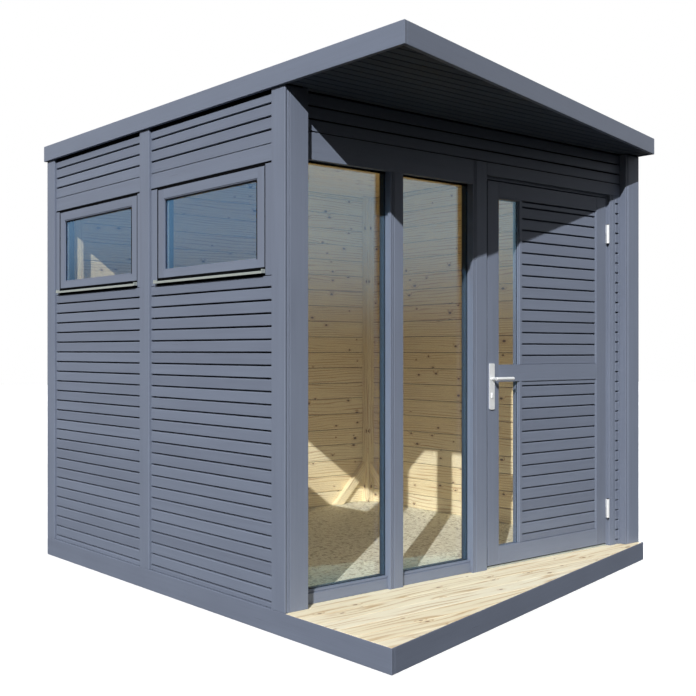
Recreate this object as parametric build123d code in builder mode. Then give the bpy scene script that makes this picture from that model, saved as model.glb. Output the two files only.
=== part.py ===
"""Garden office pod: a framed timber cabin with a raked porch, glazed screens and a hinged door."""
from build123d import *
from math import ceil
import os

os.makedirs("parts", exist_ok=True)

# Main sizes of the building
box_width = 2530.0  # outer faces of the corner posts, side to side
box_length = 2340.0  # front corner posts to rear corner posts
porch_depth = 660.0  # deck in front of the left corner post
porch_depth_right = 22.0  # deck in front of the right corner post
roof_underside = 2311.0  # underside of the fascia and of the ceiling panel
fascia_height = 89.0
plinth_height = 100.0
board_thickness = 20.0  # plinth and fascia boards
plinth_right_proud = 20.0  # the right plinth board is fixed outside the posts
fascia_left_proud = 14.0
fascia_right_proud = 2.0
fascia_back_proud = 16.0
fascia_front_proud = 84.0  # roof edge in front of the deck edge at the left end

# Timber sizes
front_post_width = 126.0  # seen from the front
side_post_width = 96.0  # seen from the side
wall_thickness = 96.0
cladding_recess = 12.0  # cladding behind the faces of the posts
cladding_thickness = 22.0
board_pitch = 56.04  # one slanted wall board and the shadow gap over it
board_gap = 8.0
board_gap_depth = 15.0
board_slant = 7.0  # rise of a shadow gap from its mouth to its back
first_gap = 25.2  # middle of the lowest shadow gap over the floor
vent_gap = 17.0  # clear strip over the wall boards under the fascia
core_thickness = 48.0
floor_thickness = 22.0
joist_width = 45.0
joist_count = 7
deck_lip = 4.0  # painted edge of the plinth that shows in front of the deck boards
middle_post_shift = 17.0  # middle post behind the middle of the side wall
post_chamfer = 5.0
inner_post = 60.0  # post in each rear corner of the room

# Front wall
cover_set = 40.0  # cover boards and header cladding behind the corner post faces
cover_thickness = 20.0
screen_depth = 70.0
header_height = 169.0  # clad wall over the screens and the door
screen_split_shift = 8.0  # joint between the two glazed screens, left of their middle
screen_left_stile = 44.0
screen_middle_stile = 54.0
screen_right_stile = 72.0
screen_bottom_rail = 58.0
screen_top_rail = 114.0
glass_thickness = 6.0
mullion_cover_width = 81.0
door_post_width = 64.0
door_post_cover_width = 102.0
door_post_cover_set = 15.0  # edge of the cover short of the face of the jamb
right_cover_width = 50.0
right_cover_set = 10.0  # the cover leaves the hinge barrels free
screen_head_board = 119.0  # head board over the screens, flush with their covers
door_head_board = 65.0  # head board over the door
board_joint = 0.3  # hairline between a cover and the head board over it
strip_width = 42.0  # clad strip between the right cover and the corner post

# Door
door_width = 982.0
door_gap_left = 8.0
door_gap_right = 8.0
door_frame_head = 15.0  # part of the frame that shows under the head board
door_gap_top = 6.0
door_gap_sill = 6.0
door_thickness = 44.0
door_set = 56.0  # face of the leaf behind the corner post faces
stop_gap = 5.0
stop_width = 12.0
sill_height = 8.0
left_stile = 83.0
glass_strip_width = 138.0
door_glass_recess = 14.0
bead_stile = 40.0
right_stile = 84.0
bottom_rail_height = 90.0
middle_rail_bottom = 1040.0
middle_rail_height = 87.0
top_rail_height = 86.0
louvre_pitch = 59.35
louvre_first = 26.0  # middle of the highest gap under the top of its panel
louvre_gap = 8.0
louvre_recess = 6.0
louvre_thickness = 26.0
louvre_gap_depth = 15.0
louvre_slant = 7.0
hinge_radius = 9.0
hinge_height = 104.0
hinge_split = 0.3
hinge_from_bottom = 197.0
hinge_from_top = 201.0
hinge_leaf = 40.0
hinge_plate = 2.5
barrel_gap = 1.5

# Lever handle
handle_set = 26.0  # spindle from the free edge of the leaf
handle_height = 1057.0
plate_width = 34.0
plate_below_spindle = 155.0
plate_height = 232.0
plate_rounding = 6.0
plate_thickness = 8.0
cylinder_drop = 85.0
cylinder_width = 14.0
cylinder_height = 28.0
cylinder_proud = 4.0
spindle_radius = 6.0
spindle_clearance = 1.5
bore_clearance = 4.0
lever_reach = 120.0
lever_radius = 9.0
lever_tail = 13.0
lever_rounding = 3.0
lever_stand_off = 45.0
neck_radius = 7.0
rose_gap = 0.3

# Windows of the left wall
window_head_drop = 227.0  # clad wall over the windows
window_head_board = 87.0
window_sill_rail = 35.0
window_jamb = 52.0  # least width of the fixed frame beside a casement
casement_height = 440.0
casement_gap = 4.0
casement_head_gap = 9.0
casement_thickness = 46.0
casement_face = 14.0
casement_stile = 62.0
casement_rail_bottom = 44.0
casement_rail_top = 58.0
window_stop = 20.0
sill_reach = 22.0
sill_thickness = 8.0
sill_drop = 8.0
sill_below_casement = 11.0

# Roof build-up
ceiling_thickness = 24.0
soffit_thickness = 20.0
roof_deck_thickness = 50.0
membrane_thickness = 7.0

# Planes worked out from the sizes above; the origin lies on the ground under the middle of the box of the whole building
left = fascia_left_proud - (fascia_left_proud + box_width + plinth_right_proud) / 2
right = left + box_width
deck_front = fascia_front_proud - (fascia_front_proud + porch_depth + box_length + fascia_back_proud) / 2
post_front = deck_front + porch_depth
rake = (porch_depth - porch_depth_right) / box_width  # run of the front edge towards the back
back = post_front + box_length
cover_face = post_front + cover_set
screen_face = cover_face + cover_thickness
screen_back = screen_face + screen_depth
front_post_back = post_front + side_post_width
rear_post_front = back - side_post_width
middle_post_front = post_front + (box_length - side_post_width) / 2 + middle_post_shift
middle_post_back = middle_post_front + side_post_width
left_inner = left + wall_thickness
right_inner = right - wall_thickness
back_inner = back - wall_thickness
plinth_right = right + plinth_right_proud
right_post_left = right - front_post_width
right_cover_left = right_post_left - strip_width - right_cover_width
jamb_right = right_cover_left - right_cover_set
leaf_right = jamb_right - door_gap_right
leaf_left = leaf_right - door_width
jamb_left = leaf_left - door_gap_left
leaf_face = post_front + door_set
leaf_back = leaf_face + door_thickness
leaf_bottom = plinth_height + sill_height + door_gap_sill
screen_top = roof_underside - header_height
screen_head_bottom = screen_top - screen_head_board
door_head_bottom = screen_top - door_head_board
door_top = door_head_bottom - door_frame_head
leaf_top = door_top - door_gap_top
screen_left = left + front_post_width
screen_right = jamb_left - door_post_width
screen_split = (screen_left + screen_right) / 2 - screen_split_shift
screen_glass_bottom = plinth_height + screen_bottom_rail
screen_glass_top = screen_top - screen_top_rail
window_top = roof_underside - window_head_drop
casement_top = window_top - window_head_board
casement_bottom = casement_top - casement_height
window_bottom = casement_bottom - window_sill_rail
sill_level = casement_bottom - sill_below_casement
roof_left = left - fascia_left_proud
roof_right = right + fascia_right_proud
roof_back = back + fascia_back_proud
roof_top = roof_underside + fascia_height
ceiling_top = roof_underside + ceiling_thickness


def deck_edge(x):
    """Gives the front edge of the deck at x."""
    return deck_front + rake * (x - left)


def roof_edge(x):
    """Gives the front edge of the roof at x."""
    return deck_front - fascia_front_proud + rake * (x - roof_left)


def block(x0, x1, y0, y1, z0, z1):
    """Adds a squared timber between the given faces."""
    with BuildSketch(Plane.XY.offset(z0)) as outline:
        with Locations(((x0 + x1) / 2, (y0 + y1) / 2)):
            Rectangle(x1 - x0, y1 - y0)
    extrude(outline.sketch, amount=z1 - z0)


def slab(points, z0, z1):
    """Adds a flat panel with the given outline in plan."""
    with BuildSketch(Plane.XY.offset(z0)) as outline:
        with BuildLine():
            Polyline(*points, close=True)
        make_face()
    extrude(outline.sketch, amount=z1 - z0)


def slatted(face, inner, low, high, levels, gap, depth, slant):
    """Gives the section of a panel of slats, with a gap at each level that slants up from the face."""
    bottom = face + depth if inner > face else face - depth
    section = [(face, low)]
    for level in levels:
        section.append((face, level - gap / 2))
        section.append((bottom, level - gap / 2 + slant))
        section.append((bottom, level + gap / 2 + slant))
        section.append((face, level + gap / 2))
    return section + [(face, high), (inner, high), (inner, low)]


def wall_section(face, inner, low, high):
    """Gives the section of the wall boards between two levels; their shadow gaps run on round the building."""
    datum = plinth_height + first_gap
    index = ceil((low + board_gap - datum) / board_pitch)
    levels = []
    while datum + board_pitch * index < high - board_gap - board_slant:
        levels.append(datum + board_pitch * index)
        index += 1
    return slatted(face, inner, low, high, levels, board_gap, board_gap_depth, board_slant)


def side_boards(face, inner, y0, y1, low, high):
    """Adds the boards of a side wall between two posts."""
    with BuildSketch(Plane.XZ.offset(-y0)) as outline:
        with BuildLine():
            Polyline(*wall_section(face, inner, low, high), close=True)
        make_face()
    extrude(outline.sketch, amount=y0 - y1)


def cross_boards(face, inner, x0, x1, low, high):
    """Adds the boards of a front or back wall between two posts."""
    with BuildSketch(Plane.YZ.offset(x0)) as outline:
        with BuildLine():
            Polyline(*wall_section(face, inner, low, high), close=True)
        make_face()
    extrude(outline.sketch, amount=x1 - x0)


def front_frame(x0, x1, z0, z1, holes, y0, y1):
    """Adds a frame that faces the front, with square holes (x0, x1, z0, z1) cut through it."""
    with BuildSketch(Plane.XZ.offset(-y0)) as outline:
        with Locations(((x0 + x1) / 2, (z0 + z1) / 2)):
            Rectangle(x1 - x0, z1 - z0)
        for a0, a1, b0, b1 in holes:
            with Locations(((a0 + a1) / 2, (b0 + b1) / 2)):
                Rectangle(a1 - a0, b1 - b0, mode=Mode.SUBTRACT)
    extrude(outline.sketch, amount=y0 - y1)


def side_frame(y0, y1, z0, z1, holes, x0, x1):
    """Adds a frame that faces the side, with square holes (y0, y1, z0, z1) cut through it."""
    with BuildSketch(Plane.YZ.offset(x0)) as outline:
        with Locations(((y0 + y1) / 2, (z0 + z1) / 2)):
            Rectangle(y1 - y0, z1 - z0)
        for a0, a1, b0, b1 in holes:
            with Locations(((a0 + a1) / 2, (b0 + b1) / 2)):
                Rectangle(a1 - a0, b1 - b0, mode=Mode.SUBTRACT)
    extrude(outline.sketch, amount=x1 - x0)


# Base: joists run from front to back and carry the floor and the deck
joist_span = plinth_right - board_thickness - (left + board_thickness) - joist_width
rake_stretch = (1 + rake * rake) ** 0.5
board_run = board_thickness * rake_stretch
lip_run = deck_lip * rake_stretch
floor_bottom = plinth_height - floor_thickness
with BuildPart() as base_joists:
    for index in range(joist_count):
        start = left + board_thickness + joist_span * index / (joist_count - 1)
        end = start + joist_width
        outline = [(start, deck_edge(start) + board_run), (end, deck_edge(end) + board_run)]
        outline += [(end, back - board_thickness), (start, back - board_thickness)]
        slab(outline, 0, floor_bottom)
base_joists.part.label = "base_joists"

# Along the porch the plinth boards are rebated, and the deck boards run out to a narrow lip
plinth_from = left + board_thickness
plinth_to = plinth_right - board_thickness
lip_inside = left + deck_lip
with BuildPart() as plinth_sides:
    porch_edge = [(left, deck_edge(left)), (plinth_from, deck_edge(plinth_from))]
    slab([*porch_edge, (plinth_from, back), (left, back)], 0, floor_bottom)
    lip = [(plinth_from, deck_edge(plinth_from) + lip_run), (lip_inside, deck_edge(lip_inside) + lip_run)]
    slab([*porch_edge, *lip, (lip_inside, post_front), (left, post_front)], floor_bottom, plinth_height)
    block(left, plinth_from, post_front, back, floor_bottom, plinth_height)
    right_edge = [(plinth_to, deck_edge(plinth_to)), (plinth_right, deck_edge(plinth_right))]
    slab([*right_edge, (plinth_right, back), (plinth_to, back)], 0, plinth_height)
plinth_sides.part.label = "plinth_sides"

with BuildPart() as plinth_front:
    for depth, bottom, top in ((board_run, 0, floor_bottom), (lip_run, floor_bottom, plinth_height)):
        outline = [(plinth_from, deck_edge(plinth_from)), (plinth_to, deck_edge(plinth_to))]
        outline += [(plinth_to, deck_edge(plinth_to) + depth), (plinth_from, deck_edge(plinth_from) + depth)]
        slab(outline, bottom, top)
plinth_front.part.label = "plinth_front"

with BuildPart() as plinth_back:
    block(plinth_from, plinth_to, back - board_thickness, back, 0, plinth_height)
plinth_back.part.label = "plinth_back"

with BuildPart() as floor_panel:
    block(plinth_from, plinth_to, screen_face, back - board_thickness, floor_bottom, plinth_height)
floor_panel.part.label = "floor_panel"

with BuildPart() as porch_deck:
    outline = [(lip_inside, deck_edge(lip_inside) + lip_run), (plinth_to, deck_edge(plinth_to) + lip_run)]
    outline += [(plinth_to, screen_face), (plinth_from, screen_face), (plinth_from, post_front)]
    slab([*outline, (lip_inside, post_front)], floor_bottom, plinth_height)
porch_deck.part.label = "porch_deck"

# Posts
with BuildPart() as posts_front:
    for edge in (left, right - front_post_width):
        block(edge, edge + front_post_width, post_front, front_post_back, plinth_height, roof_underside)
    chamfer(posts_front.edges().filter_by(Axis.Z), post_chamfer)
posts_front.part.label = "posts_front"

with BuildPart() as posts_rear:
    for edge in (left, right - wall_thickness):
        block(edge, edge + wall_thickness, rear_post_front, back, plinth_height, roof_underside)
    chamfer(posts_rear.edges().filter_by(Axis.Z).group_by(Axis.Y)[-1], post_chamfer)
posts_rear.part.label = "posts_rear"

post_depth = cladding_recess + cladding_thickness + core_thickness
back_post_left = (left + right) / 2 - side_post_width / 2
back_post_right = back_post_left + side_post_width
with BuildPart() as posts_middle:
    block(left, left + post_depth, middle_post_front, middle_post_back, plinth_height, roof_underside)
    block(right - post_depth, right, middle_post_front, middle_post_back, plinth_height, roof_underside)
    block(back_post_left, back_post_right, back - post_depth, back, plinth_height, roof_underside)
posts_middle.part.label = "posts_middle"

with BuildPart() as inner_corner_posts:
    for edge in (left_inner, right_inner - inner_post):
        block(edge, edge + inner_post, back_inner - inner_post, back_inner, plinth_height, roof_underside)
inner_corner_posts.part.label = "inner_corner_posts"

# Left wall with a window in each bay
side_bays = [(front_post_back, middle_post_front), (middle_post_back, rear_post_front)]
casement_width = min(far - near for near, far in side_bays) - 2 * window_jamb
cladding_inside = cladding_recess + cladding_thickness
left_bands = [(plinth_height, window_bottom), (window_top, roof_underside)]
boards_top = roof_underside - vent_gap
with BuildPart() as left_cladding:
    for near, far in side_bays:
        for low, high in left_bands:
            side_boards(left + cladding_recess, left + cladding_inside, near, far, low, min(high, boards_top))
left_cladding.part.label = "left_cladding"

with BuildPart() as left_core:
    for near, far in side_bays:
        for low, high in left_bands:
            block(left + cladding_inside, left + post_depth, near, far, low, high)
left_core.part.label = "left_core"

window_holes = []
for near, far in side_bays:
    window_holes.append((near, far, window_bottom, window_top))
with BuildPart() as left_lining:
    room_height = (plinth_height, roof_underside)
    side_frame(front_post_back, back_inner, *room_height, window_holes, left + post_depth, left_inner)
left_lining.part.label = "left_lining"

with BuildPart() as window_frames:
    for near, far in side_bays:
        middle = (near + far) / 2
        half = casement_width / 2 + casement_gap
        low = sill_level
        high = casement_top + casement_head_gap
        deep = left + casement_face + casement_thickness
        side_frame(near, far, window_bottom, window_top, [(middle - half, middle + half, low, high)],
                   left + cladding_recess, deep)
        narrow = half - window_stop
        side_frame(near, far, window_bottom, window_top,
                   [(middle - narrow, middle + narrow, low + window_stop, high - window_stop)], deep, left_inner)
window_frames.part.label = "window_frames"

with BuildPart() as window_casements:
    for near, far in side_bays:
        middle = (near + far) / 2
        half = casement_width / 2
        hole = (middle - half + casement_stile, middle + half - casement_stile,
                casement_bottom + casement_rail_bottom, casement_top - casement_rail_top)
        side_frame(middle - half, middle + half, casement_bottom, casement_top, [hole],
                   left + casement_face, left + casement_face + casement_thickness)
window_casements.part.label = "window_casements"

pane_set = left + casement_face + casement_thickness / 2 - glass_thickness / 2
with BuildPart() as window_panes:
    for near, far in side_bays:
        middle = (near + far) / 2
        half = casement_width / 2 - casement_stile
        block(pane_set, pane_set + glass_thickness, middle - half, middle + half,
              casement_bottom + casement_rail_bottom, casement_top - casement_rail_top)
window_panes.part.label = "window_panes"

# Sloping metal drip sills on the faces of the window frames
sill_plane = left + cladding_recess
with BuildPart() as window_sills:
    for near, far in side_bays:
        middle = (near + far) / 2
        half = casement_width / 2 + casement_gap
        with BuildSketch(Plane.XZ.offset(-(middle - half))):
            with BuildLine():
                Polyline(
                    (sill_plane, sill_level),
                    (sill_plane - sill_reach, sill_level - sill_drop),
                    (sill_plane - sill_reach, sill_level - sill_drop - sill_thickness),
                    (sill_plane, sill_level - sill_thickness),
                    close=True,
                )
            make_face()
        extrude(amount=-2 * half)
window_sills.part.label = "window_sills"

# Right wall
with BuildPart() as right_cladding:
    for near, far in side_bays:
        side_boards(right - cladding_recess, right - cladding_inside, near, far, plinth_height, boards_top)
right_cladding.part.label = "right_cladding"

with BuildPart() as right_core:
    for near, far in side_bays:
        block(right - post_depth, right - cladding_inside, near, far, plinth_height, roof_underside)
right_core.part.label = "right_core"

with BuildPart() as right_lining:
    block(right_inner, right - post_depth, front_post_back, back_inner, plinth_height, roof_underside)
right_lining.part.label = "right_lining"

# Back wall
back_bays = [(left + wall_thickness, back_post_left), (back_post_right, right - wall_thickness)]
with BuildPart() as back_cladding:
    for near, far in back_bays:
        cross_boards(back - cladding_recess, back - cladding_inside, near, far, plinth_height, boards_top)
back_cladding.part.label = "back_cladding"

with BuildPart() as back_core:
    for near, far in back_bays:
        block(near, far, back - post_depth, back - cladding_inside, plinth_height, roof_underside)
back_core.part.label = "back_core"

with BuildPart() as back_lining:
    block(left_inner, right_inner, back_inner, back - post_depth, plinth_height, roof_underside)
back_lining.part.label = "back_lining"

# Front wall: header, two glazed screens, covers and door jambs
stop_face = leaf_back + stop_gap
with BuildPart() as header_beam:
    block(screen_left, right_post_left, screen_face, screen_back, screen_top, roof_underside)
    block(jamb_left, jamb_right, screen_face, screen_back, door_top, screen_top)
    block(jamb_left, jamb_right, stop_face, screen_back, door_top - stop_width, door_top)
header_beam.part.label = "header_beam"

with BuildPart() as header_cladding:
    cross_boards(cover_face, screen_face, screen_left, right_post_left, screen_top, roof_underside)
header_cladding.part.label = "header_cladding"

first_glass = (screen_left + screen_left_stile, screen_split - screen_middle_stile)
second_glass = (screen_split + screen_middle_stile, screen_right - screen_right_stile)
with BuildPart() as glazing_frame_left:
    hole = (*first_glass, screen_glass_bottom, screen_glass_top)
    front_frame(screen_left, screen_split, plinth_height, screen_top, [hole], screen_face, screen_back)
glazing_frame_left.part.label = "glazing_frame_left"

with BuildPart() as glazing_frame_right:
    hole = (*second_glass, screen_glass_bottom, screen_glass_top)
    front_frame(screen_split, screen_right, plinth_height, screen_top, [hole], screen_face, screen_back)
glazing_frame_right.part.label = "glazing_frame_right"

glass_set = screen_face + (screen_depth - glass_thickness) / 2
with BuildPart() as glazing_panes:
    for near, far in (first_glass, second_glass):
        block(near, far, glass_set, glass_set + glass_thickness, screen_glass_bottom, screen_glass_top)
glazing_panes.part.label = "glazing_panes"

door_post_cover_right = jamb_left - door_post_cover_set
door_post_cover_left = door_post_cover_right - door_post_cover_width
mullion_left = screen_split - mullion_cover_width / 2
mullion_top = screen_head_bottom - board_joint
right_cover_right = right_cover_left + right_cover_width
right_cover_top = door_head_bottom - board_joint
with BuildPart() as screen_covers:
    block(mullion_left, mullion_left + mullion_cover_width, cover_face, screen_face, plinth_height, mullion_top)
    block(door_post_cover_left, door_post_cover_right, cover_face, screen_face, plinth_height, screen_top)
    block(right_cover_left, right_cover_right, cover_face, screen_face, plinth_height, right_cover_top)
    screen_head_to = door_post_cover_left - board_joint
    block(screen_left, screen_head_to, cover_face, screen_face, screen_head_bottom, screen_top)
    door_head_from = door_post_cover_right + board_joint
    block(door_head_from, right_post_left, cover_face, screen_face, door_head_bottom, screen_top)
screen_covers.part.label = "screen_covers"

with BuildPart() as strip_cladding:
    strip_left = right_post_left - strip_width
    cross_boards(cover_face, screen_face, strip_left, right_post_left, plinth_height, door_head_bottom)
strip_cladding.part.label = "strip_cladding"

with BuildPart() as door_jamb_left:
    block(screen_right, jamb_left, screen_face, screen_back, plinth_height, screen_top)
    block(jamb_left, jamb_left + stop_width, stop_face, screen_back, plinth_height, door_top - stop_width)
door_jamb_left.part.label = "door_jamb_left"

with BuildPart() as door_jamb_right:
    block(jamb_right, right_post_left, screen_face, screen_back, plinth_height, screen_top)
    block(jamb_right - stop_width, jamb_right, stop_face, screen_back, plinth_height, door_top - stop_width)
door_jamb_right.part.label = "door_jamb_right"

sill_from = jamb_left + stop_width
sill_to = jamb_right - stop_width
with BuildPart() as door_sill:
    block(jamb_left, jamb_right, screen_face, stop_face, plinth_height, plinth_height + sill_height)
    block(sill_from, sill_to, stop_face, screen_back, plinth_height, plinth_height + sill_height)
door_sill.part.label = "door_sill"

# Door leaf: stiles and rails around two glass strips and two louvred panels
glass_from = leaf_left + left_stile
glass_to = glass_from + glass_strip_width
louvre_from = glass_to + bead_stile
louvre_to = leaf_right - right_stile
panel_bands = [(leaf_bottom + bottom_rail_height, middle_rail_bottom)]
panel_bands.append((middle_rail_bottom + middle_rail_height, leaf_top - top_rail_height))
spindle_x = leaf_left + handle_set
leaf_holes = []
for low, high in panel_bands:
    leaf_holes.append((glass_from, glass_to, low, high))
    leaf_holes.append((louvre_from, louvre_to, low, high))
with BuildPart() as door_leaf:
    front_frame(leaf_left, leaf_right, leaf_bottom, leaf_top, leaf_holes, leaf_face, leaf_back)
    with BuildSketch(Plane.XZ.offset(-leaf_face)):
        with Locations((spindle_x, handle_height)):
            Circle(spindle_radius + bore_clearance)
    extrude(amount=-door_thickness, mode=Mode.SUBTRACT)
door_leaf.part.label = "door_leaf"

# Louvred panels: one profile of slanting slats with shadow gaps, drawn for each panel and run across the opening
louvre_face = leaf_face + louvre_recess
louvre_back = louvre_face + louvre_thickness
with BuildPart() as door_louvres:
    for low, high in panel_bands:
        count = ceil((high - low - louvre_first) / louvre_pitch)
        lowest = high - louvre_first - louvre_pitch * (count - 1)
        slots = [lowest + louvre_pitch * index for index in range(count)]
        profile = slatted(louvre_face, louvre_back, low, high, slots, louvre_gap, louvre_gap_depth, louvre_slant)
        with BuildSketch(Plane.YZ.offset(louvre_from)):
            with BuildLine():
                Polyline(*profile, close=True)
            make_face()
        extrude(amount=louvre_to - louvre_from)
door_louvres.part.label = "door_louvres"

door_glass_set = leaf_face + door_glass_recess
with BuildPart() as door_glass:
    for low, high in panel_bands:
        block(glass_from, glass_to, door_glass_set, door_glass_set + glass_thickness, low, high)
door_glass.part.label = "door_glass"

# Hinges: the upper half of each barrel turns with the leaf, the lower half stays on the jamb
hinge_x = (leaf_right + jamb_right) / 2
hinge_y = leaf_face - hinge_radius - barrel_gap
half_barrel = (hinge_height - hinge_split) / 2
hinge_centres = (leaf_bottom + hinge_from_bottom, leaf_top - hinge_from_top)
with BuildPart() as hinge_leaf_halves:
    for centre in hinge_centres:
        with BuildSketch(Plane.XY.offset(centre + hinge_split / 2)):
            with Locations((hinge_x, hinge_y)):
                Circle(hinge_radius)
            with Locations((leaf_right + hinge_plate / 2, hinge_y + hinge_leaf / 2)):
                Rectangle(hinge_plate, hinge_leaf)
        extrude(amount=half_barrel)
hinge_leaf_halves.part.label = "hinge_leaf_halves"

with BuildPart() as hinge_jamb_halves:
    for centre in hinge_centres:
        with BuildSketch(Plane.XY.offset(centre - hinge_split / 2 - half_barrel)):
            with Locations((hinge_x, hinge_y)):
                Circle(hinge_radius)
            with Locations((jamb_right - hinge_plate / 2, hinge_y + hinge_leaf / 2)):
                Rectangle(hinge_plate, hinge_leaf)
        extrude(amount=half_barrel)
hinge_jamb_halves.part.label = "hinge_jamb_halves"

# Back plates on both faces of the leaf, with a keyhole cylinder under the lever
plate_middle = handle_height - plate_below_spindle + plate_height / 2
with BuildPart() as handle_plates:
    for face, out in ((leaf_face, 1), (leaf_back, -1)):
        with BuildSketch(Plane.XZ.offset(-face)):
            with Locations((spindle_x, plate_middle)):
                RectangleRounded(plate_width, plate_height, plate_rounding)
            with Locations((spindle_x, handle_height)):
                Circle(spindle_radius + spindle_clearance, mode=Mode.SUBTRACT)
        extrude(amount=out * plate_thickness)
        with BuildSketch(Plane.XZ.offset(-face + out * plate_thickness)):
            with Locations((spindle_x, handle_height - cylinder_drop)):
                SlotOverall(cylinder_height, cylinder_width, rotation=90)
        extrude(amount=out * cylinder_proud)
handle_plates.part.label = "handle_plates"

# Lever on each face joined by the spindle through the leaf
with BuildPart() as lever_handle:
    spindle_front = leaf_face - plate_thickness - lever_stand_off + lever_radius
    with BuildSketch(Plane.XZ.offset(-spindle_front)):
        with Locations((spindle_x, handle_height)):
            Circle(spindle_radius)
    extrude(amount=spindle_front - (leaf_back + leaf_face - spindle_front))
    for face, out in ((leaf_face, -1), (leaf_back, 1)):
        collar = face + out * (plate_thickness + rose_gap)
        with BuildSketch(Plane.XZ.offset(-collar)):
            with Locations((spindle_x, handle_height)):
                Circle(neck_radius)
        extrude(amount=-out * (lever_stand_off - rose_gap - lever_radius))
        grip = face + out * (plate_thickness + lever_stand_off - lever_radius)
        with BuildSketch(Plane.YZ.offset(spindle_x - lever_tail)):
            with Locations((grip, handle_height)):
                Circle(lever_radius)
        extrude(amount=lever_reach + lever_tail)
    ends = lever_handle.edges().filter_by(GeomType.CIRCLE).filter_by(lambda edge: abs(edge.radius - lever_radius) < 0.01)
    fillet(ends, lever_rounding)
lever_handle.part.label = "lever_handle"

# Roof: fascia boards around a flat deck, with a soffit over the porch
with BuildPart() as fascia_sides:
    for edge in (roof_left, roof_right - board_thickness):
        far = edge + board_thickness
        outline = [(edge, roof_edge(edge)), (far, roof_edge(far)), (far, roof_back), (edge, roof_back)]
        slab(outline, roof_underside, roof_top)
fascia_sides.part.label = "fascia_sides"

roof_from = roof_left + board_thickness
roof_to = roof_right - board_thickness
front_edge = [(roof_from, roof_edge(roof_from)), (roof_to, roof_edge(roof_to))]
inner_edge = [(roof_from, roof_edge(roof_from) + board_run), (roof_to, roof_edge(roof_to) + board_run)]
with BuildPart() as fascia_front:
    slab([*front_edge, inner_edge[1], inner_edge[0]], roof_underside, roof_top)
fascia_front.part.label = "fascia_front"

with BuildPart() as fascia_back:
    block(roof_from, roof_to, roof_back - board_thickness, roof_back, roof_underside, roof_top)
fascia_back.part.label = "fascia_back"

panel_back = roof_back - board_thickness
with BuildPart() as ceiling_panel:
    block(roof_from, roof_to, post_front, panel_back, roof_underside, ceiling_top)
ceiling_panel.part.label = "ceiling_panel"

with BuildPart() as soffit:
    slab([*inner_edge, (roof_to, post_front), (roof_from, post_front)], ceiling_top - soffit_thickness, ceiling_top)
soffit.part.label = "soffit"

roof_outline = [*inner_edge, (roof_to, panel_back), (roof_from, panel_back)]
with BuildPart() as roof_deck:
    slab(roof_outline, ceiling_top, ceiling_top + roof_deck_thickness)
roof_deck.part.label = "roof_deck"

membrane_bottom = ceiling_top + roof_deck_thickness
with BuildPart() as roof_membrane:
    slab(roof_outline, membrane_bottom, membrane_bottom + membrane_thickness)
roof_membrane.part.label = "roof_membrane"

pieces = [
    base_joists, plinth_sides, plinth_front, plinth_back, floor_panel, porch_deck,
    posts_front, posts_rear, posts_middle, inner_corner_posts,
    left_cladding, left_core, left_lining, window_frames, window_casements, window_panes, window_sills,
    right_cladding, right_core, right_lining, back_cladding, back_core, back_lining,
    header_beam, header_cladding, glazing_frame_left, glazing_frame_right, glazing_panes,
    screen_covers, strip_cladding, door_jamb_left, door_jamb_right, door_sill,
    door_leaf, door_louvres, door_glass, hinge_leaf_halves, hinge_jamb_halves, handle_plates, lever_handle,
    fascia_sides, fascia_front, fascia_back, ceiling_panel, soffit, roof_deck, roof_membrane,
]
for piece in pieces:
    export_step(piece.part, "parts/" + piece.part.label + ".step")
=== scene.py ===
"""Garden office pod: boards, glazing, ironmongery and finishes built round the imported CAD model."""

from __future__ import annotations

import logging
import math
from dataclasses import dataclass, field, replace
from enum import Enum
from typing import Any, Callable, Iterable, Mapping, Sequence, Union

import bmesh
import bpy
import numpy as np
from mathutils import Matrix, Vector


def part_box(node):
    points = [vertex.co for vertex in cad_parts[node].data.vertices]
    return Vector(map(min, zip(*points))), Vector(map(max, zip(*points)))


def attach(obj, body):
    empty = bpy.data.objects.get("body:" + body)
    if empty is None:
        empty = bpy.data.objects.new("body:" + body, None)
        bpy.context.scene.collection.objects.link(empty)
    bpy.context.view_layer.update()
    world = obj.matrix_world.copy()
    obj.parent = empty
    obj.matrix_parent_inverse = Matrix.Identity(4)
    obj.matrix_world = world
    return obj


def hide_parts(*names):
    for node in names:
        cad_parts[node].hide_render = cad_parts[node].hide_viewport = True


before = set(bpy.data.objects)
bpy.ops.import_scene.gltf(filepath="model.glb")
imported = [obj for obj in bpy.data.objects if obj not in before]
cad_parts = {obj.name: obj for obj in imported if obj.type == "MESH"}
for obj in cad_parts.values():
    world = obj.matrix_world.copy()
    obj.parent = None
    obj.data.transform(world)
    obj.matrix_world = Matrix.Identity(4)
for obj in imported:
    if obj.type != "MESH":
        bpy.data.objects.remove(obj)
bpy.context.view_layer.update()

log = logging.getLogger("garden_pod")

Range = tuple[float, float]
Colour = tuple[int, int, int]
Number = Union["Reading", float]
Piece = bpy.types.Object

GRAIN_MAP = "grain"
BOARD_SHIFT = 0.731
END_GRAIN_SHIFT = 500.0
SQUARE_ON_MIRROR = 0.04


class Slot(Enum):
    """Material slots of the part that a piece takes its finish from."""

    TIMBER = "painted_timber"
    CLADDING = "painted_cladding"
    LINING = "pine_lining"
    DECK = "deck_timber"
    FLOOR = "floor_board"
    CORE = "wall_core"
    GLASS = "clear_glass"
    SILL = "sill_metal"
    METAL = "brushed_metal"
    ROOF = "roof_membrane"


class Body(Enum):
    """Moving groups of the part."""

    POD = "pod"
    DOOR = "door"
    LEVER = "lever"


class Axis(Enum):
    """Directions of the shared frame."""

    X = 0
    Y = 1
    Z = 2


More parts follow.
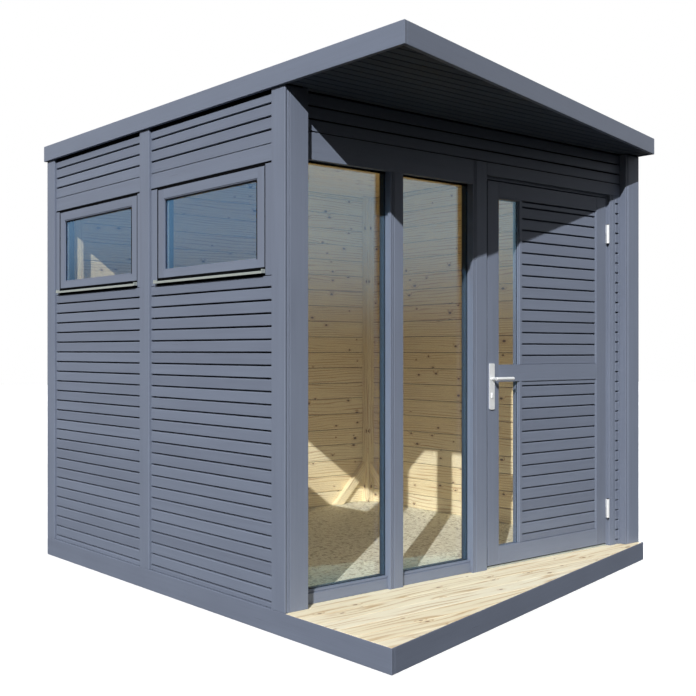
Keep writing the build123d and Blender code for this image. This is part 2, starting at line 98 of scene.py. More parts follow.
class Facing(Enum):
    """Where the face of a run of boards looks, as the world directions of its length, depth and rise."""

    FRONT = ((1, 0, 0), (0, 1, 0), (0, 0, 1))
    BACK = ((-1, 0, 0), (0, -1, 0), (0, 0, 1))
    LEFT = ((0, -1, 0), (1, 0, 0), (0, 0, 1))
    RIGHT = ((0, 1, 0), (-1, 0, 0), (0, 0, 1))
    UP = ((1, 0, 0), (0, 0, -1), (0, 1, 0))
    DOWN = ((-1, 0, 0), (0, 0, 1), (0, 1, 0))

    def placed(self, along: Range, plane: float) -> Matrix:
        """Gives the matrix that carries a board from the bench to its wall.

        Args:
            along: Lowest and highest coordinate of the board's length.
            plane: Coordinate of the boards' face.

        Returns:
            A matrix for the mesh of the board.
        """
        length, depth, rise = (Vector(column) for column in self.value)
        turn = Matrix((length, depth, rise)).transposed().to_4x4()
        start = along[0] if sum(length) > 0 else along[1]
        shift = Vector(abs(part) * start for part in length) + Vector(abs(part) * plane for part in depth)
        return Matrix.Translation(shift) @ turn


def paint(shade: Colour) -> tuple[float, float, float, float]:
    """Turns a colour as seen on a screen, 0 to 255, into Blender's linear colour.

    Args:
        shade: Red, green and blue.

    Returns:
        Linear red, green, blue and alpha.
    """
    parts = [part / 255.0 for part in shade]
    linear = [part / 12.92 if part <= 0.04045 else ((part + 0.055) / 1.055) ** 2.4 for part in parts]
    return (linear[0], linear[1], linear[2], 1.0)


@dataclass(frozen=True)
class Reading:
    """An output of a shader node, with arithmetic that adds Math nodes."""

    recipe: "Recipe"
    socket: bpy.types.NodeSocket

    def _math(self, operation: str, first: Number, second: Number) -> "Reading":
        """Adds a Math node for the operation on the two values."""
        return self.recipe.node("ShaderNodeMath", {"operation": operation}, {0: first, 1: second})

    def __add__(self, other: Number) -> "Reading":
        """Adds."""
        return self._math("ADD", self, other)

    def __radd__(self, other: Number) -> "Reading":
        """Adds, with the number first."""
        return self._math("ADD", other, self)

    def __sub__(self, other: Number) -> "Reading":
        """Subtracts."""
        return self._math("SUBTRACT", self, other)

    def __rsub__(self, other: Number) -> "Reading":
        """Subtracts, with the number first."""
        return self._math("SUBTRACT", other, self)

    def __mul__(self, other: Number) -> "Reading":
        """Multiplies."""
        return self._math("MULTIPLY", self, other)

    def __rmul__(self, other: Number) -> "Reading":
        """Multiplies, with the number first."""
        return self._math("MULTIPLY", other, self)

    def __truediv__(self, other: Number) -> "Reading":
        """Divides."""
        return self._math("DIVIDE", self, other)

    def __gt__(self, other: Number) -> "Reading":
        """Gives 1 where this is the greater."""
        return self._math("GREATER_THAN", self, other)

    def __lt__(self, other: Number) -> "Reading":
        """Gives 1 where this is the lesser."""
        return self._math("LESS_THAN", self, other)

    def __pow__(self, other: Number) -> "Reading":
        """Raises to a power."""
        return self._math("POWER", self, other)

    def floor(self) -> "Reading":
        """Rounds down."""
        return self._math("FLOOR", self, 0.0)

    def sine(self) -> "Reading":
        """Takes the sine."""
        return self._math("SINE", self, 0.0)

    def near(self, low: float, high: float) -> "Reading":
        """Falls from 1 at low to 0 at high."""
        settings = {"interpolation_type": "SMOOTHSTEP"}
        sockets = {"Value": self, "From Min": low, "From Max": high, "To Min": 1.0, "To Max": 0.0}
        return self.recipe.node("ShaderNodeMapRange", settings, sockets)

    def output(self, name: str) -> "Reading":
        """Gives another output of the same node."""
        return Reading(self.recipe, self.socket.node.outputs[name])


class Recipe:
    """The node tree of one material or of the world."""

    def __init__(self, owner: bpy.types.Material | bpy.types.World) -> None:
        """Starts with an empty tree.

        Args:
            owner: The material or the world.
        """
        self.owner = owner
        owner.use_nodes = True
        self.tree = owner.node_tree
        self.tree.nodes.clear()

    @classmethod
    def of_material(cls, name: str) -> "Recipe":
        """Starts a new material."""
        return cls(bpy.data.materials.new(name))

    def node(
        self,
        kind: str,
        settings: Mapping[str, Any] | None = None,
        sockets: Mapping[str | int, Any] | None = None,
        output: str | int = 0,
    ) -> Reading:
        """Adds a node, with its settings set before its sockets.

        Args:
            kind: Blender's type of the node.
            settings: Properties of the node; stops are the stops of its ramp.
            sockets: Values or readings for its inputs.
            output: The output wanted.

        Returns:
            A reading of that output.
        """
        made = self.tree.nodes.new(kind)
        for key, value in (settings or {}).items():
            if key == "stops":
                self._set_stops(made.color_ramp, value)
            else:
                setattr(made, key, value)
        for key, value in (sockets or {}).items():
            if isinstance(value, Reading):
                self.tree.links.new(value.socket, made.inputs[key])
            else:
                made.inputs[key].default_value = value
        return Reading(self, made.outputs[output])

    @staticmethod
    def _set_stops(ramp: bpy.types.ColorRamp, stops: Sequence[tuple[float, Colour]]) -> None:
        """Sets the stops of a colour ramp."""
        while len(ramp.elements) < len(stops):
            ramp.elements.new(1.0)
        for element, (place, shade) in zip(ramp.elements, stops):
            element.position = place
            element.color = paint(shade)

    def vector(self, x: Number, y: Number, z: Number = 0.0) -> Reading:
        """Joins three numbers to a vector."""
        return self.node("ShaderNodeCombineXYZ", {}, {0: x, 1: y, 2: z})

    def noise(self, where: Reading, scale: float = 1.0, detail: float = 3.0, rough: float = 0.55) -> Reading:
        """Gives soft noise of about 0 to 1.

        Args:
            where: Place on the surface.
            scale: How fine the noise is.
            detail: Octaves.
            rough: Share of the finer octaves.

        Returns:
            The noise.
        """
        sockets = {"Vector": where, "Scale": scale, "Detail": detail, "Roughness": rough}
        return self.node("ShaderNodeTexNoise", {}, sockets)

    def chance(self, where: Number) -> Reading:
        """Gives an even random number for each whole number."""
        return self.node("ShaderNodeTexWhiteNoise", {"noise_dimensions": "1D"}, {"W": where})

    def blend(self, share: Number, first: Any, second: Any, kind: str = "MIX") -> Reading:
        """Mixes two colours.

        Args:
            share: Share of the second colour.
            first: The first colour or reading.
            second: The second colour or reading.
            kind: Way of mixing.

        Returns:
            The mixed colour.
        """
        settings = {"data_type": "RGBA", "blend_type": kind, "clamp_factor": True}
        return self.node("ShaderNodeMix", settings, {0: share, 6: first, 7: second}, 2)

    def bump(self, height: Reading, strength: float, depth: float = 0.001) -> Reading:
        """Turns a height into a normal."""
        return self.node("ShaderNodeBump", {}, {"Strength": strength, "Distance": depth, "Height": height})

    def finish(self, **sockets: Any) -> bpy.types.Material:
        """Closes the material with a Principled shader.

        Args:
            **sockets: The shader's inputs, with underscores for spaces.

        Returns:
            The material.
        """
        named = {key.replace("_", " "): value for key, value in sockets.items()}
        surface = self.node("ShaderNodeBsdfPrincipled", {}, named)
        self.show(surface)
        return self.owner

    def show(self, surface: Reading) -> None:
        """Links a shader to the output."""
        world = isinstance(self.owner, bpy.types.World)
        kind = "ShaderNodeOutputWorld" if world else "ShaderNodeOutputMaterial"
        made = self.tree.nodes.new(kind)
        self.tree.links.new(surface.socket, made.inputs["Surface"])


@dataclass(frozen=True)
class GrainAlong:
    """Where the grain of a finish runs: along each board's own map, or along one direction of the frame."""

    axis: Axis | None = None

    def places(self, recipe: Recipe) -> tuple[Reading, Reading, Reading]:
        """Reads the place on the timber.

        Args:
            recipe: The material's node tree.

        Returns:
            The place along the grain, the place across it and a whole number for each board.
        """
        if self.axis is None:
            chart = recipe.node("ShaderNodeUVMap", {"uv_map": GRAIN_MAP})
            parts = recipe.node("ShaderNodeSeparateXYZ", {}, {0: chart})
            across = parts.output("Y")
            return parts, across, (across + 0.5).floor()
        spot = recipe.node("ShaderNodeTexCoord", output="Object")
        parts = recipe.node("ShaderNodeSeparateXYZ", {}, {0: spot})
        names = ["X", "Y", "Z"]
        along = parts.output(names.pop(self.axis.value))
        across = parts.output(names[0]) + parts.output(names[1]) * 1.31
        return along, across, (across * 8.0).floor()


@dataclass(frozen=True)
class PaintFinish:
    """Water-based timber paint, brushed along the grain, which still shows through."""

    name: str
    shade: Colour
    roughness: float = 0.5
    thin: float = 0.0
    sheen: float = 0.2
    grain: GrainAlong = field(default_factory=GrainAlong)

    def mixed(self) -> bpy.types.Material:
        """Mixes the paint.

        Returns:
            The material, whose colour, sheen and grain differ a little from board to board.
        """
        recipe = Recipe.of_material(self.name)
        along, across, board = self.grain.places(recipe)
        fibres = recipe.noise(recipe.vector(along * 3.0, across * 260.0, board), 1.0, 5.0, 0.65)
        strokes = recipe.noise(recipe.vector(along * 1.1, across * 34.0, board + 40.0), 1.0, 3.0)
        clouds = recipe.noise(recipe.vector(along * 2.2, across * 5.0, board + 90.0), 1.0, 2.0)
        tone = recipe.chance(board)
        checks = recipe.noise(recipe.vector(along * 5.0, across * 420.0, board + 7.0), 1.0, 2.0, 0.5)
        check = (checks > 0.71) * (clouds > 0.5)
        light = 0.5 + (fibres - 0.5) * 0.5 + (strokes - 0.5) * 0.55
        light = light + (clouds - 0.5) * 0.5 + (tone - 0.5) * 0.34
        dark_shade = tuple(int(part * 0.915) for part in self.shade)
        pale_shade = tuple(min(255, int(part * 1.085) + 1) for part in self.shade)
        colour = recipe.blend(light, paint(dark_shade), paint(pale_shade))
        colour = recipe.blend(check * 0.35, colour, paint(tuple(int(part * 0.55) for part in self.shade)))
        # Paler patches on the paint of eased edges: part wear, part painted highlight.
        if self.thin:
            wear_and_highlight = recipe.noise(recipe.vector(along * 16.0, across * 30.0, board), 1.0, 3.0)
            colour = recipe.blend((1.0 - wear_and_highlight.near(0.35, 0.62)) * self.thin, colour, paint((176, 181, 190)))
        height = fibres * 0.6 + strokes * 0.3 - check * 0.5
        return recipe.finish(
            Base_Color=colour,
            Specular_IOR_Level=self.sheen,
            Roughness=self.roughness + (strokes - 0.5) * 0.16 + (fibres - 0.5) * 0.12,
            Normal=recipe.bump(height, 0.32, 0.0008),
        )


@dataclass(frozen=True)
class PineFinish:
    """Planed pine with growth lines and knots."""

    name: str
    pale: Colour
    warm: Colour
    line: Colour
    knot: Colour = (96, 58, 28)
    roughness: float = 0.48
    knots_shown: float = 0.45
    lines: float = 1.0
    knot_rows: float = 5.0
    ring_rate: float = 230.0
    fineness: float = 6.0
    grain: GrainAlong = field(default_factory=GrainAlong)

    def mixed(self) -> bpy.types.Material:
        """Mixes the wood.

        Returns:
            The material, with growth lines that bend round the knots.
        """
        recipe = Recipe.of_material(self.name)
        along, across, board = self.grain.places(recipe)
        cells = recipe.vector(along * self.knot_rows + board * 0.37, across * 9.0 + board * 0.61)
        settings = {"voronoi_dimensions": "2D", "feature": "F1"}
        sockets = {"Vector": cells, "Scale": 1.0, "Randomness": 0.9}
        spots = recipe.node("ShaderNodeTexVoronoi", settings, sockets)
        distance = spots
        pick = recipe.node("ShaderNodeSeparateColor", {}, {0: spots.output("Color")})
        shown = pick < self.knots_shown
        size = 0.036 + pick.output("Green") * 0.056
        core = (distance / size).near(0.55, 1.0) * shown
        halo = (distance / size).near(0.8, 2.9) * shown
        drift = recipe.noise(recipe.vector(along * 0.9, across * 7.0, board), 1.0, 2.0) - 0.5
        bend = drift * 34.0 + halo * 5.0 + board * 2.3
        broken = recipe.noise(recipe.vector(along * 2.4, across * 16.0, board + 21.0), 1.0, 2.0)
        rings = ((across * self.ring_rate + bend).sine() * 0.5 + 0.5) ** self.fineness
        rings = rings * (1.0 - broken.near(0.34, 0.58))
        figure = recipe.noise(recipe.vector(along * 1.6, across * 95.0, board + 3.0), 1.0, 4.0, 0.6)
        fibres = recipe.noise(recipe.vector(along * 9.0, across * 520.0, board + 11.0), 1.0, 3.0, 0.6)
        tone = recipe.chance(board)
        warmth = 0.42 + (figure - 0.5) * 1.1 + (tone - 0.5) * 0.5
        colour = recipe.blend(warmth, paint(self.pale), paint(self.warm))
        colour = recipe.blend(rings * (figure + 0.35) * self.lines, colour, paint(self.line))
        colour = recipe.blend((fibres - 0.45) * 0.45, colour, paint(self.line))
        colour = recipe.blend(halo * 0.24, colour, paint(self.line))
        colour = recipe.blend(core * 0.86, colour, paint(self.knot))
        height = fibres * 0.5 + rings * 0.3 - core * 0.2
        return recipe.finish(
            Base_Color=colour,
            Roughness=self.roughness + (figure - 0.5) * 0.2 - core * 0.1,
            Normal=recipe.bump(height, 0.25, 0.0006),
        )


@dataclass(frozen=True)
class SpeckledFinish:
    """Pressed chip board under a matt lacquer."""

    name: str
    pale: Colour
    mid: Colour
    dark: Colour

    def mixed(self) -> bpy.types.Material:
        """Mixes the board.

        Returns:
            The material, with flakes of three shades.
        """
        recipe = Recipe.of_material(self.name)
        spot = recipe.node("ShaderNodeTexCoord", output="Object")
        flakes = recipe.node("ShaderNodeTexVoronoi", {"feature": "F1"}, {"Vector": spot, "Scale": 72.0})
        pick = recipe.node("ShaderNodeSeparateColor", {}, {0: flakes.output("Color")})
        clouds = recipe.noise(spot, 3.0, 3.0)
        colour = recipe.blend(pick, paint(self.mid), paint(self.pale))
        colour = recipe.blend((pick.output("Green") > 0.80) * 0.85, colour, paint(self.dark))
        colour = recipe.blend((clouds - 0.4) * 0.5, colour, paint(self.mid))
        return recipe.finish(
            Base_Color=colour,
            Roughness=0.55 + (pick - 0.5) * 0.2,
            Normal=recipe.bump(pick.output("Blue"), 0.2, 0.0005),
        )


@dataclass(frozen=True)
class GlassFinish:
    """Float glass: a film that mirrors, clearer square on than at a slant; the mirror's colour is a painted
    reflection of a blue sky.
    """

    name: str
    tint: Colour
    body: float

    def mixed(self) -> bpy.types.Material:
        """Mixes the glass.

        Returns:
            The material, see-through by its alpha.
        """
        recipe = Recipe.of_material(self.name)
        spot = recipe.node("ShaderNodeTexCoord", output="Object")
        film = recipe.noise(spot, 2.3, 2.0)
        slant = recipe.node("ShaderNodeLayerWeight", {}, {"Blend": 0.5}, "Facing")
        mirror = SQUARE_ON_MIRROR + (slant ** 5.0) * (1.0 - SQUARE_ON_MIRROR)
        # Patches of paler painted sky reflection over the film.
        paler_sky_reflection = tuple(min(255, part + 14) for part in self.tint)
        colour = recipe.blend(film * 0.5, paint(self.tint), paint(paler_sky_reflection))
        recipe.owner.surface_render_method = "BLENDED"
        return recipe.finish(
            Base_Color=colour,
            Metallic=1.0,
            Roughness=0.02 + film * 0.02,
            Alpha=self.body + mirror + (film - 0.5) * 0.02,
        )


@dataclass(frozen=True)
class MetalFinish:
    """Metal with fine brushing along one direction."""

    name: str
    shade: Colour
    roughness: float = 0.34
    metallic: float = 1.0
    across_scale: tuple[float, float, float] = (60.0, 900.0, 900.0)

    def mixed(self) -> bpy.types.Material:
        """Mixes the metal.

        Returns:
            The material, with brush lines and faint handling marks.
        """
        recipe = Recipe.of_material(self.name)
        spot = recipe.node("ShaderNodeTexCoord", output="Object")
        lines = recipe.node("ShaderNodeMapping", {}, {"Vector": spot, "Scale": self.across_scale})
        brushing = recipe.noise(lines, 1.0, 3.0, 0.6)
        marks = recipe.noise(spot, 38.0, 3.0)
        dull = tuple(int(part * 0.86) for part in self.shade)
        colour = recipe.blend((marks - 0.35) * 0.8, paint(self.shade), paint(dull))
        return recipe.finish(
            Base_Color=colour,
            Metallic=self.metallic,
            Roughness=self.roughness + (brushing - 0.5) * 0.18 + (marks - 0.5) * 0.1,
            Normal=recipe.bump(brushing, 0.08, 0.0003),
        )


@dataclass(frozen=True)
class SheetFinish:
    """Matt sheet goods such as roof membrane and rubber seals, and a near black that paints in shade."""

    name: str
    shade: Colour
    roughness: float = 0.85
    mottle: float = 0.25
    scale: float = 24.0
    sheen: float = 0.5

    def mixed(self) -> bpy.types.Material:
        """Mixes the sheet.

        Returns:
            The material, with a fine pebble and dusty clouds.
        """
        recipe = Recipe.of_material(self.name)
        spot = recipe.node("ShaderNodeTexCoord", output="Object")
        pebble = recipe.noise(spot, self.scale * 22.0, 2.0)
        clouds = recipe.noise(spot, self.scale * 0.12, 4.0)
        lighter = tuple(min(255, int(part * 1.18) + 5) for part in self.shade)
        share = (clouds - 0.35) * 1.5 * self.mottle + (pebble - 0.5) * self.mottle
        colour = recipe.blend(share, paint(self.shade), paint(lighter))
        return recipe.finish(
            Base_Color=colour,
            Specular_IOR_Level=self.sheen,
            Roughness=self.roughness + (clouds - 0.5) * 0.12,
            Normal=recipe.bump(pebble, 0.25, 0.0006),
        )


class Finishes:
    """All finishes of the pod, each mixed once."""

    def __init__(self) -> None:
        """Mixes the finishes."""
        slate: Colour = (116, 124, 141)
        self.paint = PaintFinish("slate_paint", slate).mixed()
        # The eased edges take a paler paint: a painted highlight where light catches the rounded edges.
        self.paint_edge = PaintFinish("slate_paint_eased_edges", (156, 162, 176), 0.44, 0.25).mixed()
        # A darker slate that paints in the shade under the canopy and in the gaps of the louvres.
        self.dark_paint = PaintFinish("shaded_slate_paint", (80, 88, 100), sheen=0.06).mixed()
        # Paint of the reveals behind the screen glass, dark blue-green: painted shade with a painted sky
        # reflection.
        self.reveal_paint = PaintFinish("reveal_paint", (66, 78, 88), sheen=0.1).mixed()
        self.pine = PineFinish(
            "lining_pine",
            (254, 244, 208),
            (249, 229, 178),
            (172, 120, 60),
            (84, 48, 24),
            knots_shown=0.62,
            lines=0.8,
            ring_rate=330.0,
            fineness=9.0,
        ).mixed()
        self.deck = PineFinish(
            "deck_pine",
            (255, 247, 221),
            (250, 235, 198),
            (196, 156, 102),
            (134, 88, 46),
            roughness=0.6,
            knots_shown=0.5,
            lines=0.85,
            knot_rows=4.0,
            ring_rate=150.0,
            fineness=3.5,
        ).mixed()
        self.raw = PineFinish(
            "raw_joist_pine", (206, 180, 132), (190, 158, 108), (150, 112, 66), grain=GrainAlong(Axis.Y)
        ).mixed()
        self.chipboard = SpeckledFinish(
            "floor_chip_board", (248, 246, 226), (228, 225, 202), (164, 158, 134)
        ).mixed()
        # The blue of both glasses is a painted sky reflection.
        self.front_glass = GlassFinish("screen_glass", (150, 196, 224), 0.12).mixed()
        self.side_glass = GlassFinish("window_glass", (84, 134, 176), 0.30).mixed()
        self.steel = MetalFinish("brushed_steel", (246, 248, 249), 0.36, 0.35).mixed()
        self.sill = MetalFinish("sill_aluminium", (176, 183, 178), 0.42, 0.35, (900.0, 30.0, 900.0)).mixed()
        self.spacer = MetalFinish("spacer_bar", (170, 188, 197), 0.4, 0.6).mixed()
        self.rubber = SheetFinish("black_seal", (14, 15, 17), 0.75, 0.3, sheen=0.1).mixed()
        # A near black that paints in the shade in the window gaps and in the vent gap over the walls.
        self.backing = SheetFinish("breather_paper", (13, 14, 16), 0.95, 0.3, sheen=0.02).mixed()
        self.membrane = SheetFinish("roof_membrane_sheet", (58, 60, 63), 0.82, 0.5).mixed()
        self.core = SheetFinish("wall_core_board", (20, 21, 23), 0.95, 0.3).mixed()

    def painted(self, *nodes: str, slot: Slot = Slot.TIMBER, body: Body = Body.POD) -> Dressing:
        """Gives the dressing of painted timber whose eased edges take a paler paint as a painted highlight.

        Args:
            *nodes: CAD nodes that the piece stands for.
            slot: The slot of its finish.
            body: The body that it rides on.

        Returns:
            The dressing.
        """
        return Dressing((self.paint, self.paint_edge), slot, body, nodes)


@dataclass(frozen=True)
class Timber:
    """A squared timber between its faces, in metres, with its grain along one direction."""

    x: Range
    y: Range
    z: Range
    grain: Axis

    @property
    def centre(self) -> Vector:
        """Middle of the timber."""
        return Vector(((self.x[0] + self.x[1]) / 2, (self.y[0] + self.y[1]) / 2, (self.z[0] + self.z[1]) / 2))

    @property
    def size(self) -> Vector:
        """Width, depth and height of the timber."""
        return Vector((self.x[1] - self.x[0], self.y[1] - self.y[0], self.z[1] - self.z[0]))


class Bench:
    """The bench on which pieces are shaped with Blender's operators."""

    @staticmethod
    def clear() -> None:
        """Deselects everything."""
        bpy.ops.object.select_all(action="DESELECT")

    @staticmethod
    def take(pieces: Sequence[Piece]) -> None:
        """Selects only these pieces, the first one active."""
        Bench.clear()
        for piece in pieces:
            piece.select_set(True)
        bpy.context.view_layer.objects.active = pieces[0]

    @staticmethod
    def settle(piece: Piece) -> Piece:
        """Puts a piece's place, turn and size into its mesh."""
        Bench.take([piece])
        bpy.ops.object.transform_apply(location=True, rotation=True, scale=True)
        return piece

    @staticmethod
    def squared(timber: Timber) -> Piece:
        """Adds a squared block.

        Args:
            timber: Its faces.

        Returns:
            The block, with its place in its mesh.
        """
        Bench.clear()
        bpy.ops.mesh.primitive_cube_add(size=1.0, location=timber.centre)
        block = bpy.context.object
        block.scale = timber.size
        return Bench.settle(block)

    @staticmethod
    def round_bar(radius: float, ends: tuple[Vector, Vector], sides: int = 24) -> Piece:
        """Adds a round bar between two points.

        Args:
            radius: Its radius.
            ends: The middle of each end.
            sides: Facets round it.

        Returns:
            The bar, with its place in its mesh.
        """
        Bench.clear()
        line = ends[1] - ends[0]
        bpy.ops.mesh.primitive_cylinder_add(
            vertices=sides,
            radius=radius,
            depth=line.length,
            location=(ends[0] + ends[1]) / 2,
            rotation=line.to_track_quat("Z", "Y").to_euler(),
        )
        return Bench.settle(bpy.context.object)

    @staticmethod
    def push(piece: Piece, chosen: Callable[[Vector], bool], by: Vector) -> None:
        """Moves the points of a piece that a test picks.

        Args:
            piece: The piece.
            chosen: Test of a point's place.
            by: The move.
        """
        Bench.take([piece])
        bpy.ops.object.mode_set(mode="EDIT")
        bpy.ops.mesh.select_mode(type="VERT")
        bpy.ops.mesh.select_all(action="DESELECT")
        mesh = bmesh.from_edit_mesh(piece.data)
        for point in mesh.verts:
            point.select = chosen(point.co)
        mesh.select_flush_mode()
        bmesh.update_edit_mesh(piece.data)
        bpy.ops.transform.translate(value=by)
        bpy.ops.object.mode_set(mode="OBJECT")

    @staticmethod
    def cut(piece: Piece, point: Vector, away: Vector) -> None:
        """Cuts a piece along a plane and closes the cut.

        Args:
            piece: The piece.
            point: A point of the plane.
            away: The direction of the side that goes.
        """
        Bench.take([piece])
        bpy.ops.object.mode_set(mode="EDIT")
        bpy.ops.mesh.select_all(action="SELECT")
        bpy.ops.mesh.bisect(plane_co=point, plane_no=away, use_fill=True, clear_outer=True)
        bpy.ops.object.mode_set(mode="OBJECT")

    @staticmethod
    def ease(piece: Piece, width: float, segments: int = 1, material: int = 1, angle: float = 30.0) -> Piece:
        """Rounds over the sharp edges of a piece.

        Args:
            piece: The piece.
            width: Width of the rounding.
            segments: Facets of the rounding.
            material: Material number that the rounding gets.
            angle: Least angle of an edge that is rounded, in degrees.

        Returns:
            The piece.
        """
        Bench.take([piece])
        bevel = piece.modifiers.new("ease", "BEVEL")
        bevel.width = width
        bevel.segments = segments
        bevel.limit_method = "ANGLE"
        bevel.angle_limit = math.radians(angle)
        bevel.material = material
        bpy.ops.object.modifier_apply(modifier=bevel.name)
        return piece

    @staticmethod
    def from_node(node: str) -> Piece:
        """Copies a CAD node's mesh, merged and with its flat faces whole again.

        Args:
            node: Name of the node.

        Returns:
            The copy.
        """
        Bench.clear()
        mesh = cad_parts[node].data.copy()
        mesh.materials.clear()
        piece = bpy.data.objects.new(node + "_eased", mesh)
        bpy.context.scene.collection.objects.link(piece)
        Bench.take([piece])
        bpy.ops.object.mode_set(mode="EDIT")
        bpy.ops.mesh.select_all(action="SELECT")
        bpy.ops.mesh.remove_doubles(threshold=1e-5)
        bpy.ops.mesh.dissolve_limited(angle_limit=math.radians(1.0))
        bpy.ops.mesh.select_all(action="SELECT")
        bpy.ops.mesh.normals_make_consistent(inside=False)
        bpy.ops.object.mode_set(mode="OBJECT")
        return piece

    @staticmethod
    def lay_grain(piece: Piece, grain: Axis, board: int = 0) -> Piece:
        """Lays the grain map over a piece: metres along the grain and across it.

        Args:
            piece: The piece.
            grain: Direction of the grain.
            board: Number of the board, which shifts its figure.

        Returns:
            The piece.
        """
        mesh = piece.data
        while mesh.uv_layers:
            mesh.uv_layers.remove(mesh.uv_layers[0])
        chart = mesh.uv_layers.new(name=GRAIN_MAP)
        points = np.empty(len(mesh.vertices) * 3)
        mesh.vertices.foreach_get("co", points)
        points = points.reshape(-1, 3)
        middle = (points.min(0) + points.max(0)) / 2
        run = grain.value
        sides = [axis for axis in range(3) if axis != run]
        values = np.empty((len(mesh.loops), 2))
        for face in mesh.polygons:
            normal = face.normal
            is_end = abs(normal[run]) > 0.8
            across = min(sides, key=lambda axis: abs(normal[axis]))
            first, second = (sides[0], sides[1]) if is_end else (run, across)
            shift = END_GRAIN_SHIFT if is_end else 0.0
            for loop in face.loop_indices:
                spot = points[mesh.loops[loop].vertex_index] - middle
                values[loop] = (spot[first] + shift + board * BOARD_SHIFT, spot[second] + board)
        chart.data.foreach_set("uv", values.ravel())
        return piece

    @staticmethod
    def copied(piece: Piece, matrix: Matrix, board: int = 0) -> Piece:
        """Copies a board with its own mesh.

        Args:
            piece: The board.
            matrix: Where the copy goes.
            board: Number of the copy, which shifts its figure.

        Returns:
            The copy.
        """
        mesh = piece.data.copy()
        mesh.transform(matrix)
        if mesh.uv_layers:
            chart = mesh.uv_layers[GRAIN_MAP]
            values = np.empty(len(mesh.loops) * 2)
            chart.data.foreach_get("uv", values)
            values = values.reshape(-1, 2) + (board * BOARD_SHIFT, board)
            chart.data.foreach_set("uv", values.ravel())
        copy = bpy.data.objects.new(piece.name, mesh)
        bpy.context.scene.collection.objects.link(copy)
        return copy

    @staticmethod
    def joined(name: str, pieces: Sequence[Piece]) -> Piece:
        """Joins pieces to one.

        Args:
            name: Name of the joined piece.
            pieces: The pieces.

        Returns:
            The joined piece.
        """
        Bench.take(pieces)
        if len(pieces) > 1:
            bpy.ops.object.join()
        piece = bpy.context.view_layer.objects.active
        piece.name = name
        piece.data.name = name
        return piece

    @staticmethod
    def smooth(piece: Piece, angle: float = 40.0) -> Piece:
        """Shades the gentle edges of a piece smooth."""
        Bench.take([piece])
        bpy.ops.object.shade_smooth_by_angle(angle=math.radians(angle))
        return piece


@dataclass(frozen=True)
class Dressing:
    """What a finished piece rides on, takes its finish from and stands for."""

    materials: tuple[bpy.types.Material, ...]
    slot: Slot
    body: Body = Body.POD
    replaces: tuple[str, ...] = ()

    @classmethod
    def of(cls, material: bpy.types.Material, slot: Slot, *nodes: str, body: Body = Body.POD) -> Dressing:
        """Gives a dressing whose faces and edges have the same material."""
        return cls((material, material), slot, body, nodes)

    def put_on(self, piece: Piece) -> Piece:
        """Dresses the piece and reports it.

        Args:
            piece: The piece, with its mesh final.

        Returns:
            The piece.
        """
        piece.data.materials.clear()
        for material in self.materials:
            piece.data.materials.append(material)
        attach(piece, self.body.value)
        if self.replaces:
            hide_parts(*self.replaces)
        log.info("%s: %d faces", piece.name, len(piece.data.polygons))
        return piece


def refinish(nodes: Iterable[str], material: bpy.types.Material) -> None:
    """Gives CAD nodes whose shape stays a better material.

    Args:
        nodes: Names of the nodes.
        material: The material.
    """
    for name in nodes:
        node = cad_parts[name]
        node.data.materials.clear()
        node.data.materials.append(material)
        for face in node.data.polygons:
            face.material_index = 0
        log.info("%s: CAD node refinished", name)


def glazed(name: str, panes: Sequence[Timber], material: bpy.types.Material, node: str, body: Body) -> Piece:
    """Sets panes of glass with arrised edges, which don't shade the room.

    Args:
        name: Name of the piece.
        panes: Faces of each pane.
        material: The glass.
        node: The CAD node that the panes stand for.
        body: Body that they ride on.

    Returns:
        The joined and dressed panes.
    """
    glass = Joinery(name, tuple(panes), Dressing.of(material, Slot.GLASS, node, body=body), 0.0005, 1).build()
    glass.visible_shadow = False
    return glass


@dataclass(frozen=True)
class Joinery:
    """A piece made of squared timbers with eased edges."""

    name: str
    timbers: tuple[Timber, ...]
    dressing: Dressing
    ease: float = 0.0014
    segments: int = 2

    def build(self) -> Piece:
        """Builds the piece.

        Returns:
            The joined and dressed timbers.
        """
        parts = []
        for number, timber in enumerate(self.timbers):
            part = Bench.squared(timber)
            Bench.ease(part, self.ease, self.segments)
            parts.append(Bench.lay_grain(part, timber.grain, number))
        return self.dressing.put_on(Bench.joined(self.name, parts))


def ring(hole: Sequence[float], depth: Range, start: float, stop: float, wall: Axis = Axis.X) -> list[Timber]:
    """Gives four strips round the inside of a hole.

    Args:
        hole: Near, far, lower and upper edge of the hole.
        depth: Front and back of the strips.
        start: Distance of the strips from the hole's edge.
        stop: Distance of their inner edge.
        wall: Direction in which the wall runs.

    Returns:
        The near, far, lower and upper strip.
    """
    near, far, low, high = hole[0] + start, hole[1] - start, hole[2] + start, hole[3] - start
    wide = stop - start
    shapes = (
        ((near, near + wide), (low, high), Axis.Z),
        ((far - wide, far), (low, high), Axis.Z),
        ((near + wide, far - wide), (low, low + wide), wall),
        ((near + wide, far - wide), (high - wide, high), wall),
    )
    if wall is Axis.X:
        return [Timber(along, depth, rise, grain) for along, rise, grain in shapes]
    return [Timber(depth, along, rise, grain) for along, rise, grain in shapes]


@dataclass(frozen=True)
class GlassLine:
    """Where a pane of the front stands, and what holds it."""

    pane: Range
    play: float = 0.0005
    seal_thickness: float = 0.0004
    spacer_depth: float = 0.006

    @property
    def outside(self) -> float:
        """Back of the outside beads."""
        return self.pane[0] - self.play

    @property
    def inside(self) -> float:
        """Front of the inside beads."""
        return self.pane[1] + self.play

    @property
    def seal(self) -> Range:
        """Front and back of the seals."""
        return self.outside, self.outside + self.seal_thickness

    @property
    def spacer(self) -> Range:
        """Front and back of the spacer bars."""
        return self.inside, self.inside + self.spacer_depth


